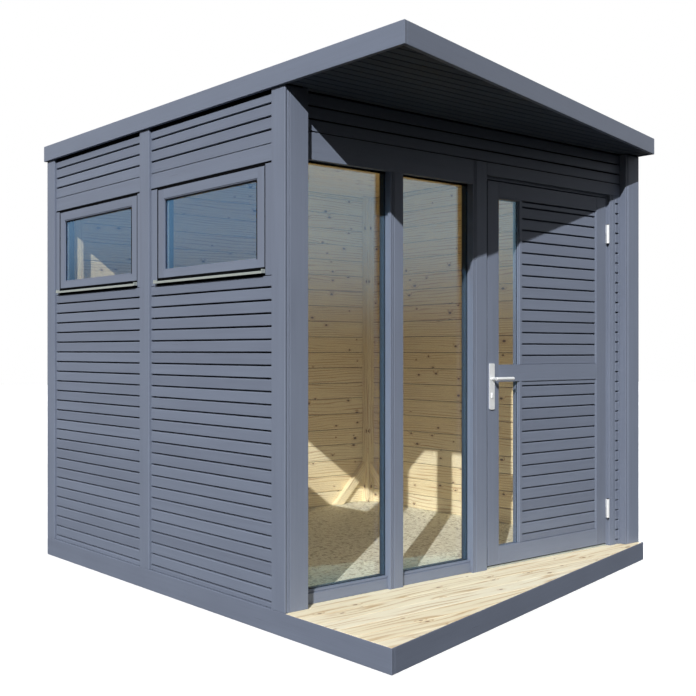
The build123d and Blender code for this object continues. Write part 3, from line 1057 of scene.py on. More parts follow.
@dataclass(frozen=True)
class Planking:
    """How boards are laid one above another."""

    pitch: float
    gap: float
    thickness: float
    slant: float
    datum: float
    ease: float = 0.0012
    end_gap: float = 0.002
    least_board: float = 0.012

    def courses(self, low: float, high: float) -> list[Range]:
        """Shares a height out into boards.

        Args:
            low: Lowest edge of the run.
            high: Highest edge of the run.

        Returns:
            The lowest and highest edge of each board.
        """
        first = math.ceil((low + self.least_board - self.datum) / self.pitch)
        lines = []
        while self.datum + first * self.pitch < high - self.least_board:
            lines.append(self.datum + first * self.pitch)
            first += 1
        lows = [low] + [line + self.gap / 2 for line in lines]
        highs = [line - self.gap / 2 for line in lines] + [high]
        return list(zip(lows, highs))


@dataclass(frozen=True)
class BoardRun:
    """Boards over one stretch of a wall, floor or ceiling."""

    along: Range
    rise: Range


@dataclass(frozen=True)
class BoardedFace:
    """Boards fixed side by side over one face of the building."""

    name: str
    planking: Planking
    facing: Facing
    plane: float
    runs: tuple[BoardRun, ...]
    dressing: Dressing
    cuts: tuple[tuple[Vector, Vector], ...] = ()

    def _board(self, length: float, height: float) -> Piece:
        """Shapes one board on the bench, its face at zero depth and its foot at zero height."""
        planking = self.planking
        board = Bench.squared(Timber((0.0, length), (0.0, planking.thickness), (0.0, height), Axis.X))
        if planking.slant:
            slant = Vector((0.0, 0.0, planking.slant))
            Bench.push(board, lambda spot: spot.y > planking.thickness / 2, slant)
        Bench.ease(board, planking.ease, 1)
        return Bench.lay_grain(board, Axis.X)

    def build(self) -> Piece:
        """Builds the boards.

        Returns:
            The joined and dressed boards.
        """
        patterns: dict[tuple[float, float], Piece] = {}
        boards = []
        for run in self.runs:
            near, far = run.along[0] + self.planking.end_gap, run.along[1] - self.planking.end_gap
            for low, high in self.planking.courses(*run.rise):
                key = (round(far - near, 5), round(high - low, 5))
                if key not in patterns:
                    patterns[key] = self._board(far - near, high - low)
                place = self.facing.placed((near, far), self.plane) @ Matrix.Translation((0.0, 0.0, low))
                boards.append(Bench.copied(patterns[key], place, len(boards) + 1))
        for pattern in patterns.values():
            bpy.data.objects.remove(pattern)
        for point, away in self.cuts:
            for board in boards:
                Bench.cut(board, point, away)
        return self.dressing.put_on(Bench.joined(self.name, boards))


def span(node: str, axis: Axis) -> Range:
    """Gives the lowest and highest coordinate of a CAD node along one direction.

    Args:
        node: Name of the node.
        axis: The direction.

    Returns:
        The two coordinates.
    """
    low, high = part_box(node)
    return low[axis.value], high[axis.value]


@dataclass(frozen=True)
class Layout:
    """Planes of the building, read from the CAD nodes."""

    left: float = field(default_factory=lambda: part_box("posts_front")[0].x)
    right: float = field(default_factory=lambda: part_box("posts_front")[1].x)
    front: float = field(default_factory=lambda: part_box("posts_front")[0].y)
    back: float = field(default_factory=lambda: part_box("posts_rear")[1].y)
    floor: float = field(default_factory=lambda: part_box("floor_panel")[1].z)
    eaves: float = field(default_factory=lambda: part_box("fascia_sides")[0].z)
    middle_front: float = 0.333
    middle_back: float = 0.429
    back_post: Range = (-0.051, 0.045)
    wall: float = 0.096
    recess: float = 0.012
    rake: float = 638.0 / 2530.0

    @property
    def rake_away(self) -> Vector:
        """Direction square to the raked front edge, away from the building."""
        return Vector((self.rake, -1.0, 0.0)).normalized()

    @property
    def side_bays(self) -> tuple[Range, Range]:
        """Bays of the side walls between their posts."""
        return (self.front + self.wall, self.middle_front), (self.middle_back, self.back - self.wall)


@dataclass(frozen=True)
class Lamp:
    """A far lamp with parallel rays, whose softness is in degrees."""

    name: str
    comes_from: tuple[float, float, float]
    strength: float
    softness: float

    def hang(self) -> None:
        """Hangs the lamp."""
        light = bpy.data.lights.new(self.name, "SUN")
        light.energy = self.strength
        light.angle = math.radians(self.softness)
        holder = bpy.data.objects.new(self.name, light)
        bpy.context.scene.collection.objects.link(holder)
        holder.rotation_euler = Vector(self.comes_from).to_track_quat("Z", "Y").to_euler()


@dataclass(frozen=True)
class Studio:
    """The camera, the floor and the light."""

    place: tuple[float, float, float] = (-3.8611, -4.2907, 1.2)
    heading: float = -40.14
    lens: float = 53.74
    rise: float = 0.00345
    horizon: float = 0.015
    zenith: float = 0.45
    skyline: float = 0.14
    lamps: tuple[Lamp, ...] = (
        Lamp("key", (-1.355, -1.067, 1.0), 4.1, 0.5),
        Lamp("fill", (0.80, 0.75, 0.60), 2.4, 30.0),
    )
    room_light: float = 3.9
    room_lamp_size: float = 1.4
    room_colour: tuple[float, float, float] = (1.0, 0.79, 0.52)
    room_place: tuple[float, float, float] = (0.1, -0.45, 0.95)
    floor_bounce: float = 0.015
    floor_shade: float = 0.82
    floor_glow: float = 0.3
    floor_reach: float = 60.0

    def set_up(self) -> None:
        """Sets up the camera, the floor and the light."""
        self._camera()
        self._floor()
        self._sky()
        for lamp in self.lamps:
            lamp.hang()
        self._room_lamp()
        bpy.context.scene.view_settings.view_transform = "Standard"

    def _camera(self) -> None:
        """Stands the camera where the photograph's stood."""
        camera = bpy.data.cameras.new("camera")
        camera.lens = self.lens
        camera.sensor_width = 36.0
        camera.shift_y = self.rise
        camera.clip_end = 200.0
        holder = bpy.data.objects.new("camera", camera)
        bpy.context.scene.collection.objects.link(holder)
        holder.location = self.place
        holder.rotation_euler = (math.radians(90.0), 0.0, math.radians(self.heading))
        bpy.context.scene.camera = holder

    def _floor(self) -> None:
        """Lays the plain pale floor, which keeps the object's shadow."""
        Bench.clear()
        bpy.ops.mesh.primitive_plane_add(size=self.floor_reach)
        floor = bpy.context.object
        floor.name = "studio_floor"
        recipe = Recipe.of_material("studio_floor")
        path = recipe.node("ShaderNodeLightPath", output="Is Camera Ray")
        seen = recipe.blend(path, (self.floor_bounce,) * 3 + (1.0,), (self.floor_shade,) * 3 + (1.0,))
        matt = recipe.node("ShaderNodeBsdfDiffuse", {}, {"Color": seen})
        mirrored = path.output("Is Glossy Ray") * self.skyline
        glow = recipe.node("ShaderNodeEmission", {}, {"Strength": path * self.floor_glow + mirrored})
        recipe.show(recipe.node("ShaderNodeAddShader", {}, {0: matt, 1: glow}))
        floor.data.materials.append(recipe.owner)

    def _sky(self) -> None:
        """Sets the soft light from above and the white background."""
        world = bpy.data.worlds.new("studio")
        bpy.context.scene.world = world
        recipe = Recipe(world)
        path = recipe.node("ShaderNodeLightPath", output="Is Camera Ray")
        mirrored = path.output("Is Glossy Ray")
        unseen = (1.0 - path) * (1.0 - mirrored) * (1.0 - path.output("Is Transmission Ray"))
        way = recipe.node("ShaderNodeTexCoord", output="Generated")
        height = recipe.node("ShaderNodeSeparateXYZ", {}, {0: way}, "Z")
        soft = (height > 0.0) * height * self.zenith + self.horizon
        haze = height.near(0.0, 0.12) * (1.0 - self.skyline)
        strength = (1.0 - unseen) * (1.0 - mirrored * haze) + unseen * soft
        glow = {"Color": (1.0, 1.0, 1.0, 1.0), "Strength": strength}
        recipe.show(recipe.node("ShaderNodeBackground", {}, glow))

    def _room_lamp(self) -> None:
        """Stands the faint light of the room low behind the screens, facing the back wall."""
        light = bpy.data.lights.new("room_light", "AREA")
        light.size = self.room_lamp_size
        light.energy = self.room_light
        light.color = self.room_colour
        holder = bpy.data.objects.new("room_light", light)
        bpy.context.scene.collection.objects.link(holder)
        holder.location = self.room_place
        holder.rotation_euler.x = math.radians(90.0)
        holder.visible_camera = False
        holder.visible_glossy = False


@dataclass(frozen=True)
class Shell:
    """Plinth, posts and outside boards."""

    layout: Layout
    finishes: Finishes
    planking: Planking = Planking(
        pitch=0.05604, gap=0.008, thickness=0.018, slant=0.003, datum=0.1252, ease=0.002
    )
    vent: float = 0.017
    front_post: float = 0.126
    cheek: float = 0.011
    groove: float = 0.006
    groove_depth: float = 0.0035
    fillet: float = 0.009
    post_ease: float = 0.003
    middle_depth: float = 0.082

    def build(self) -> None:
        """Builds the shell."""
        self._plinth()
        self._posts()
        self._boards()

    def _plinth(self) -> None:
        """Eases the plinth boards, whose ends follow the rake of the deck."""
        grains = {"plinth_sides": Axis.Y, "plinth_front": Axis.X, "plinth_back": Axis.X}
        for node, grain in grains.items():
            board = Bench.ease(Bench.from_node(node), 0.002, 2)
            Bench.lay_grain(board, grain, len(node))
            board.name = node.replace("plinth", "plinth_board")
            self.finishes.painted(node).put_on(board)

    def _posts(self) -> None:
        """Builds the corner and middle posts."""
        plan = self.layout
        rise = (plan.floor, plan.eaves)
        front_depth = span("posts_front", Axis.Y)
        outer_timbers = []
        for edge in (plan.left, plan.right - self.front_post):
            cheek_end = edge + self.cheek
            main = cheek_end + self.groove
            face_start = main + self.fillet
            inset = (front_depth[0] + self.groove_depth, front_depth[1] - 0.003)
            faces = ((edge, cheek_end), (main, face_start), (face_start + 0.0004, edge + self.front_post))
            outer_timbers += [Timber(along, front_depth, rise, Axis.Z) for along in faces]
            outer_timbers.append(Timber((edge + 0.003, face_start + 0.02), inset, rise, Axis.Z))
        dressing = self.finishes.painted("posts_front")
        Joinery("front_corner_posts", tuple(outer_timbers), dressing, self.post_ease, 3).build()
        rear_y = span("posts_rear", Axis.Y)
        corners = (plan.left, plan.right - plan.wall)
        rear = tuple(Timber((low, low + plan.wall), rear_y, rise, Axis.Z) for low in corners)
        Joinery("rear_corner_posts", rear, self.finishes.painted("posts_rear"), self.post_ease, 3).build()
        depth = self.middle_depth
        middle_y = (plan.middle_front, plan.middle_back)
        middle = (
            Timber((plan.left, plan.left + depth), middle_y, rise, Axis.Z),
            Timber((plan.right - depth, plan.right), middle_y, rise, Axis.Z),
            Timber(plan.back_post, (plan.back - depth, plan.back), rise, Axis.Z),
        )
        Joinery("middle_posts", middle, self.finishes.painted("posts_middle"), 0.003, 2).build()

    def _boards(self) -> None:
        """Lays the slanted boards of the outside walls."""
        plan = self.layout
        boarded = self.finishes.painted
        top = plan.eaves - self.vent
        window_low, window_high = span("window_frames", Axis.Z)
        runs = []
        for bay in plan.side_bays:
            runs.append(BoardRun(bay, (plan.floor + 0.001, window_low - 0.003)))
            runs.append(BoardRun(bay, (window_high + 0.001, top)))
        face = plan.left + plan.recess
        dressing = boarded("left_cladding", slot=Slot.CLADDING)
        BoardedFace("left_wall_boards", self.planking, Facing.LEFT, face, tuple(runs), dressing).build()
        face = plan.right - plan.recess
        runs = [BoardRun(bay, (plan.floor + 0.001, top)) for bay in plan.side_bays]
        dressing = boarded("right_cladding", slot=Slot.CLADDING)
        BoardedFace("right_wall_boards", self.planking, Facing.RIGHT, face, tuple(runs), dressing).build()
        bays = ((plan.left + plan.wall, plan.back_post[0]), (plan.back_post[1], plan.right - plan.wall))
        face = plan.back - plan.recess
        runs = [BoardRun(bay, (plan.floor + 0.001, top)) for bay in bays]
        dressing = boarded("back_cladding", slot=Slot.CLADDING)
        BoardedFace("back_wall_boards", self.planking, Facing.BACK, face, tuple(runs), dressing).build()
        level = (plan.floor + 0.0001, plan.floor + 0.0012)
        ledge = (plan.right - plan.recess + 0.0002, plan.right - 0.0002)
        strips = tuple(Timber(ledge, bay, level, Axis.Y) for bay in plan.side_bays)
        Joinery("right_foot_strips", strips, boarded(), 0.0003, 1).build()
        refinish(("left_core", "right_core", "back_core"), self.finishes.core)


@dataclass(frozen=True)
class SideWindows:
    """Fixed frames, top-hung casements, glass and sills of the left wall."""

    layout: Layout
    finishes: Finishes
    casement_width: float = 0.905
    casement_z: Range = (1.5585, 1.995)
    casement_x: Range = (-1.254, -1.208)
    pane_x: Range = (-1.2448, -1.2388)
    stile: float = 0.062
    rail_low: float = 0.0425
    rail_high: float = 0.056
    gap: float = 0.009
    head_gap: float = 0.015
    stile_gap: float = 0.008
    seal_set: float = 0.002
    stop: float = 0.020
    bead: float = 0.009
    bead_set: float = 0.003
    rebate: float = 0.004
    seal: float = 0.003
    gasket: float = 0.0045
    gasket_set: Range = (0.0008, 0.0032)
    spacer_edge: Range = (0.003, 0.010)
    spacer_set: Range = (0.0003, 0.0063)
    hinge_x: Range = (-1.2535, -1.226)
    hinge_reach: float = 0.105
    hinge_half: float = 0.028
    sill_sheet: float = 0.0022
    sill_fall: float = 0.0055
    sill_lap: float = 0.010
    cap_rise: Range = (-0.014, 0.003)

    def build(self) -> None:
        """Builds the windows."""
        fixed, casements, seals, spacers, hinges, sills, shade_strips, panes = [], [], [], [], [], [], [], []
        for bay in self.layout.side_bays:
            middle = (bay[0] + bay[1]) / 2
            fixed += self._fixed_frame(bay, middle)
            casements += self._casement(middle)
            # Black seals on the near and top sides only, where shade falls: partly real seals, partly painted
            # shade.
            seals += self._ring(middle, 0.0, self.seal, (self.pane_x[0] - self.seal, self.pane_x[0]))[::3]
            flush = (self.casement_x[0] + self.gasket_set[0], self.casement_x[0] + self.gasket_set[1])
            seals += self._ring(middle, -self.gasket, 0.0, flush)[::3]
            behind = (self.pane_x[1] + self.spacer_set[0], self.pane_x[1] + self.spacer_set[1])
            spacers += self._ring(middle, *self.spacer_edge, behind)[:2]
            panes.append(self._pane(middle))
            hinges += self._stays(middle)
            sills.append(self._sill(middle))
            # Black strips in the gaps round the casement: painted shade, which also stands for the weather
            # seals.
            shade_strips += self._shadow_strips(bay, middle)
        stock = self.finishes
        for name, timbers, dressing, ease, segments in (
            ("window_fixed_frames", fixed, stock.painted("window_frames"), 0.0012, 2),
            ("window_casement_frames", casements, stock.painted("window_casements"), 0.0013, 2),
            ("window_seals", seals, Dressing.of(stock.rubber, Slot.GLASS), 0.0006, 1),
            ("window_rebate_seals", shade_strips, Dressing.of(stock.backing, Slot.CORE), 0.0001, 1),
            ("window_spacers", spacers, Dressing.of(stock.spacer, Slot.GLASS), 0.0006, 1),
            ("window_hinges", hinges, Dressing.of(stock.sill, Slot.METAL), 0.0006, 2),
        ):
            Joinery(name, tuple(timbers), dressing, ease, segments).build()
        drip = Bench.joined("window_drip_sills", sills)
        Dressing((self.finishes.sill,), Slot.SILL, replaces=("window_sills",)).put_on(drip)
        glazed("window_glass_panes", panes, self.finishes.side_glass, "window_panes", Body.POD)

    def _fixed_frame(self, bay: Range, middle: float) -> list[Timber]:
        """Gives the timbers fixed round one casement."""
        face, inner = self.layout.left + self.layout.recess, self.layout.left + self.layout.wall
        low, high = span("window_frames", Axis.Z)
        half = self.casement_width / 2 + self.gap
        head = self.casement_z[1] + self.head_gap
        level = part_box("window_sills")[1].z
        near, far = bay[0] + 0.001, bay[1] - 0.001
        deep = (face, self.casement_x[1])
        opening = (middle - half, middle + half)
        timbers = [
            Timber(deep, (near, far), (head, high - 0.001), Axis.Y),
            Timber(deep, (near + 0.001, opening[0]), (low, head - self.stile_gap), Axis.Z),
            Timber(deep, (opening[1], far - 0.003), (low, head - self.stile_gap), Axis.Z),
        ]
        narrow = half - self.stop
        back = (self.casement_x[1] + 0.0005, inner)
        foot, top = level + self.stop, head - self.stop
        timbers += [
            Timber(back, (bay[0], bay[1]), (top, high), Axis.Y),
            Timber(back, (bay[0], middle - narrow), (foot, top), Axis.Z),
            Timber(back, (middle + narrow, bay[1]), (foot, top), Axis.Z),
            Timber(back, (bay[0], bay[1]), (low, foot), Axis.Y),
        ]
        return timbers

    def _shadow_strips(self, bay: Range, middle: float) -> list[Timber]:
        """Gives the black strips in the gaps round one casement and under its sill: painted shade, which also
        stands for the weather seals.

        Args:
            bay: Ends of the bay.
            middle: Middle of the casement.

        Returns:
            The seals, set back from the face.
        """
        face = self.layout.left + self.layout.recess
        low, head = span("window_frames", Axis.Z)[0], self.casement_z[1] + self.head_gap
        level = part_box("window_sills")[1].z
        half, slot = self.casement_width / 2, self.gap
        deep = (face + self.seal_set, self.casement_x[1])
        near, far = bay[0] + 0.001, bay[1] - 0.001
        left, right = middle - half, middle + half
        stile_head = (head - self.stile_gap, head - 0.0002)
        return [
            Timber(deep, (left - slot, right + slot), (self.casement_z[1] + 0.0002, stile_head[1]), Axis.Y),
            Timber(deep, (near, left - slot), stile_head, Axis.Y),
            Timber(deep, (right + slot, far), stile_head, Axis.Y),
            Timber(deep, (left - slot, left - 0.0002), (level, self.casement_z[1]), Axis.Z),
            Timber(deep, (right + 0.0002, right + slot), (level, self.casement_z[1]), Axis.Z),
            Timber(deep, (left, right), (level, self.casement_z[0] - 0.0002), Axis.Y),
            Timber(deep, (left - slot, right + slot), (low, level - 0.0025), Axis.Y),
            Timber(deep, (far - 0.003, far), (low, head), Axis.Z),
        ]

    def _casement(self, middle: float) -> list[Timber]:
        """Gives the stiles, rails and glazing beads of one casement."""
        half = self.casement_width / 2
        low, high = self.casement_z
        near, far = middle - half, middle + half
        glass = (near + self.stile, far - self.stile, low + self.rail_low, high - self.rail_high)
        bead = self.bead
        hole = (glass[0] - bead, glass[1] + bead, glass[2] - bead, glass[3] + bead)
        timbers = [
            Timber(self.casement_x, (near, hole[0]), (low, high), Axis.Z),
            Timber(self.casement_x, (hole[1], far), (low, high), Axis.Z),
            Timber(self.casement_x, (hole[0], hole[1]), (low, hole[2]), Axis.Y),
            Timber(self.casement_x, (hole[0], hole[1]), (hole[3], high), Axis.Y),
        ]
        bead_x = (self.casement_x[0] + self.bead_set, self.pane_x[0] - self.seal)
        timbers += [
            Timber(bead_x, (hole[0], glass[0]), (hole[2], hole[3]), Axis.Z),
            Timber(bead_x, (glass[1], hole[1]), (hole[2], hole[3]), Axis.Z),
            Timber(bead_x, (glass[0], glass[1]), (hole[2], glass[2]), Axis.Y),
            Timber(bead_x, (glass[0], glass[1]), (glass[3], hole[3]), Axis.Y),
        ]
        return timbers

    def _pane(self, middle: float) -> Timber:
        """Gives the faces of one pane."""
        half = self.casement_width / 2 - self.stile + self.rebate
        low = self.casement_z[0] + self.rail_low - self.rebate
        high = self.casement_z[1] - self.rail_high + self.rebate
        return Timber(self.pane_x, (middle - half, middle + half), (low, high), Axis.Y)

    def _ring(self, middle: float, start: float, stop: float, depth: Range) -> list[Timber]:
        """Gives four strips round the glass of one casement."""
        half = self.casement_width / 2 - self.stile
        rise = (self.casement_z[0] + self.rail_low, self.casement_z[1] - self.rail_high)
        return ring((middle - half, middle + half, *rise), depth, start, stop, Axis.Y)

    def _stays(self, middle: float) -> list[Timber]:
        """Gives the small hinge plates that show in the gap over one casement."""
        top = self.casement_z[1]
        timbers = []
        for side in (-1, 1):
            centre = middle + side * (self.casement_width / 2 - self.hinge_reach)
            plate = (centre - self.hinge_half, centre + self.hinge_half)
            timbers.append(Timber(self.hinge_x, plate, (top + 0.0004, top + 0.0052), Axis.Y))
        return timbers

    def _sill(self, middle: float) -> Piece:
        """Folds one sloping sill with a drip lip and end caps."""
        half = self.casement_width / 2 + self.gap
        x_in, x_out = self.layout.left + self.layout.recess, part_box("window_sills")[0].x
        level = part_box("window_sills")[1].z
        sheet, fall = self.sill_sheet, self.sill_fall
        sheet_x = (x_out, x_in + self.sill_lap)
        top = Bench.squared(Timber(sheet_x, (middle - half, middle + half), (level - sheet, level), Axis.Y))
        Bench.push(top, lambda spot: spot.x < x_in, Vector((0.0, 0.0, -fall)))
        lip_z = (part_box("window_sills")[0].z, level - fall - sheet / 2)
        lip = Bench.squared(Timber((x_out, x_out + sheet), (middle - half, middle + half), lip_z, Axis.Y))
        caps = []
        for side in (-1, 1):
            y = middle + side * (half - sheet / 2)
            rise = (level + self.cap_rise[0], level + self.cap_rise[1])
            cap = Timber((x_out + 0.001, x_in), (y - sheet / 2, y + sheet / 2), rise, Axis.Y)
            caps.append(Bench.squared(cap))
        sill = Bench.joined("sill", [top, lip, *caps])
        Bench.ease(sill, 0.0006, 1, -1)
        return Bench.lay_grain(sill, Axis.Y)


@dataclass(frozen=True)
class FrontWall:
    """Header, glazed screens, cover boards and door jambs."""

    layout: Layout
    finishes: Finishes
    planking: Planking = Planking(
        pitch=0.05604, gap=0.008, thickness=0.016, slant=0.003, datum=0.1252, ease=0.002
    )
    left_stile: float = 0.044
    middle_stile: float = 0.054
    covered_stile: float = 0.027
    right_stile: float = 0.040
    bottom_rail: float = 0.058
    top_rail: float = 0.114
    bead: float = 0.010
    mullion_cover: tuple[Range, Range] = ((-0.6335, -0.5525), (0.1, 2.0224))
    post_cover: tuple[Range, Range] = ((-0.081, 0.021), (0.1, 2.142))
    hinge_cover: tuple[Range, Range] = ((1.044, 1.094), (0.1, 2.0764))
    screen_head: tuple[Range, Range] = ((-1.1415, -0.0814), (2.0228, 2.142))
    door_head: tuple[Range, Range] = ((0.0214, 1.1355), (2.0768, 2.142))
    frame_head: tuple[Range, Range] = ((0.036, 1.034), (2.062, 2.1415))
    frame_stop_foot: float = 2.050
    bead_set: float = 0.008
    liner_lap: float = 0.0005
    seal: float = 0.002
    head_seal: float = 0.010
    spacer_edge: Range = (0.001, 0.007)
    rebate: float = 0.005
    glass_line: GlassLine = GlassLine((-0.714, -0.708))
    strip_trim: float = 0.010
    cover_bead: float = 0.011
    quirk: float = 0.003
    quirk_depth: float = 0.006

    def build(self) -> None:
        """Builds the front wall."""
        self._header()
        self._screens()
        self._covers()
        self._jambs()

    def _header(self) -> None:
        """Lays the boards over the screens and the door, and the clad strip beside the door."""
        low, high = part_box("header_cladding")
        run = BoardRun((low.x, high.x), (low.z + 0.004, high.z - 0.004))
        dressing = self.finishes.painted("header_cladding", slot=Slot.CLADDING)
        BoardedFace("header_boards", self.planking, Facing.FRONT, low.y, (run,), dressing).build()
        low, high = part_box("strip_cladding")
        run = BoardRun((low.x, high.x - self.strip_trim + 0.002), (low.z + 0.001, high.z))
        dressing = self.finishes.painted("strip_cladding", slot=Slot.CLADDING)
        BoardedFace("strip_boards", self.planking, Facing.FRONT, low.y, (run,), dressing).build()
        trim = Timber((high.x - self.strip_trim, high.x - 0.0005), (low.y, high.y), (low.z, high.z), Axis.Z)
        Joinery("strip_trim", (trim,), dressing, 0.002, 2).build()
        self._beam()

    def _beam(self) -> None:
        """Builds the beam behind the header boards, and the frame head and stop over the door."""
        low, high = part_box("header_beam")
        foot = self.frame_head[1][1] + 0.0005
        beam = Timber((low.x, high.x), (low.y + 0.0004, high.y), (foot, high.z), Axis.X)
        dressing = Dressing.of(self.finishes.core, Slot.CORE, "header_beam")
        Joinery("header_beam_timber", (beam,), dressing, 0.001, 1).build()
        along, rise = self.frame_head
        stop = (-0.701, high.y)
        timbers = (
            Timber(along, (low.y, high.y), rise, Axis.X),
            Timber((along[0] + 0.001, along[1] - 0.001), stop, (self.frame_stop_foot, rise[0]), Axis.X),
        )
        Joinery("door_frame_head", timbers, self.finishes.painted("header_beam"), 0.0015, 2).build()

    def _screens(self) -> None:
        """Builds the two glazed screens."""
        stock, line = self.finishes, self.glass_line
        depth = span("glazing_frame_left", Axis.Y)
        rise = span("glazing_frame_left", Axis.Z)
        sizes = {
            "glazing_frame_left": (self.left_stile, self.covered_stile),
            "glazing_frame_right": (self.middle_stile, self.right_stile),
        }
        panes = []
        for node, (first, second) in sizes.items():
            x0, x1 = span(node, Axis.X)
            x0, x1 = x0 + 0.0005, x1 - 0.0005
            bead = self.bead
            glass = (x0 + first, x1 - second, rise[0] + self.bottom_rail, rise[1] - self.top_rail)
            hole = (glass[0] - bead, glass[1] + bead, glass[2] - bead, glass[3] + bead)
            timbers = [
                Timber((x0, hole[0]), depth, rise, Axis.Z),
                Timber((hole[1], x1), depth, rise, Axis.Z),
                Timber((hole[0], hole[1]), depth, (rise[0], hole[2]), Axis.X),
                Timber((hole[0], hole[1]), depth, (hole[3], rise[1]), Axis.X),
            ]
            timbers += ring(hole, (depth[0] + self.bead_set, line.outside), 0.0, bead)
            Joinery(node + "_timbers", tuple(timbers), self.finishes.painted(node), 0.002, 2).build()
            lap = self.liner_lap
            liner = ring(hole, (line.inside, depth[1] + lap), -lap, bead + lap)
            # The liner behind the glass takes painted shade with a painted sky reflection.
            in_shade = Dressing.of(stock.reveal_paint, Slot.TIMBER)
            Joinery(node + "_liner", tuple(liner), in_shade, 0.001, 1).build()
            seal = ring(glass, line.seal, 0.0, self.seal)
            # The top seal is made deep so the glass top reads dark under the head board: partly real seal,
            # partly painted shade.
            seal[3] = replace(seal[3], z=(glass[3] - self.head_seal, glass[3]))
            Joinery(node + "_seal", tuple(seal), Dressing.of(stock.rubber, Slot.GLASS), 0.0001, 1).build()
            bar = ring(glass, line.spacer, *self.spacer_edge)[:1]
            Joinery(node + "_spacer", tuple(bar), Dressing.of(stock.spacer, Slot.GLASS), 0.0006, 1).build()
            x0, x1, z0, z1 = (edge + side * self.rebate for edge, side in zip(glass, (-1, 1, -1, 1)))
            panes.append(Timber((x0, x1), line.pane, (z0, z1), Axis.Z))
        glazed("screen_glass_panes", panes, self.finishes.front_glass, "glazing_panes", Body.POD)

    def _covers(self) -> None:
        """Builds the cover boards over the mullion, the door post and the hinge side."""
        depth = span("screen_covers", Axis.Y)
        dressing = self.finishes.painted("screen_covers")
        timbers = []
        for (left, right), rise in (self.mullion_cover, self.post_cover, self.hinge_cover):
            first, second = left + self.cover_bead, left + 2 * self.cover_bead
            faces = ((left, first), (first + self.quirk, second), (second + self.quirk, right))
            timbers += [Timber(along, depth, rise, Axis.Z) for along in faces]
            under = (depth[0] + self.quirk_depth, depth[1])
            timbers.append(Timber((left + 0.002, second + 0.010), under, rise, Axis.Z))
        Joinery("cover_boards", tuple(timbers), dressing, 0.0012, 1).build()
        heads = (self.screen_head, self.door_head)
        timbers = tuple(Timber(along, depth, rise, Axis.X) for along, rise in heads)
        Joinery("head_boards", timbers, dressing, 0.0016, 2).build()

    def _jambs(self) -> None:
        """Eases the door jambs and the sill."""
        for node in ("door_jamb_left", "door_jamb_right"):
            jamb = Bench.ease(Bench.from_node(node), 0.0015, 1)
            Bench.lay_grain(jamb, Axis.Z, len(node))
            jamb.name = node + "_timber"
            self.finishes.painted(node).put_on(jamb)
        sill = Bench.ease(Bench.from_node("door_sill"), 0.001, 1, -1)
        Bench.lay_grain(sill, Axis.X)
        sill.name = "door_threshold"
        Dressing((self.finishes.sill,), Slot.SILL, replaces=("door_sill",)).put_on(sill)


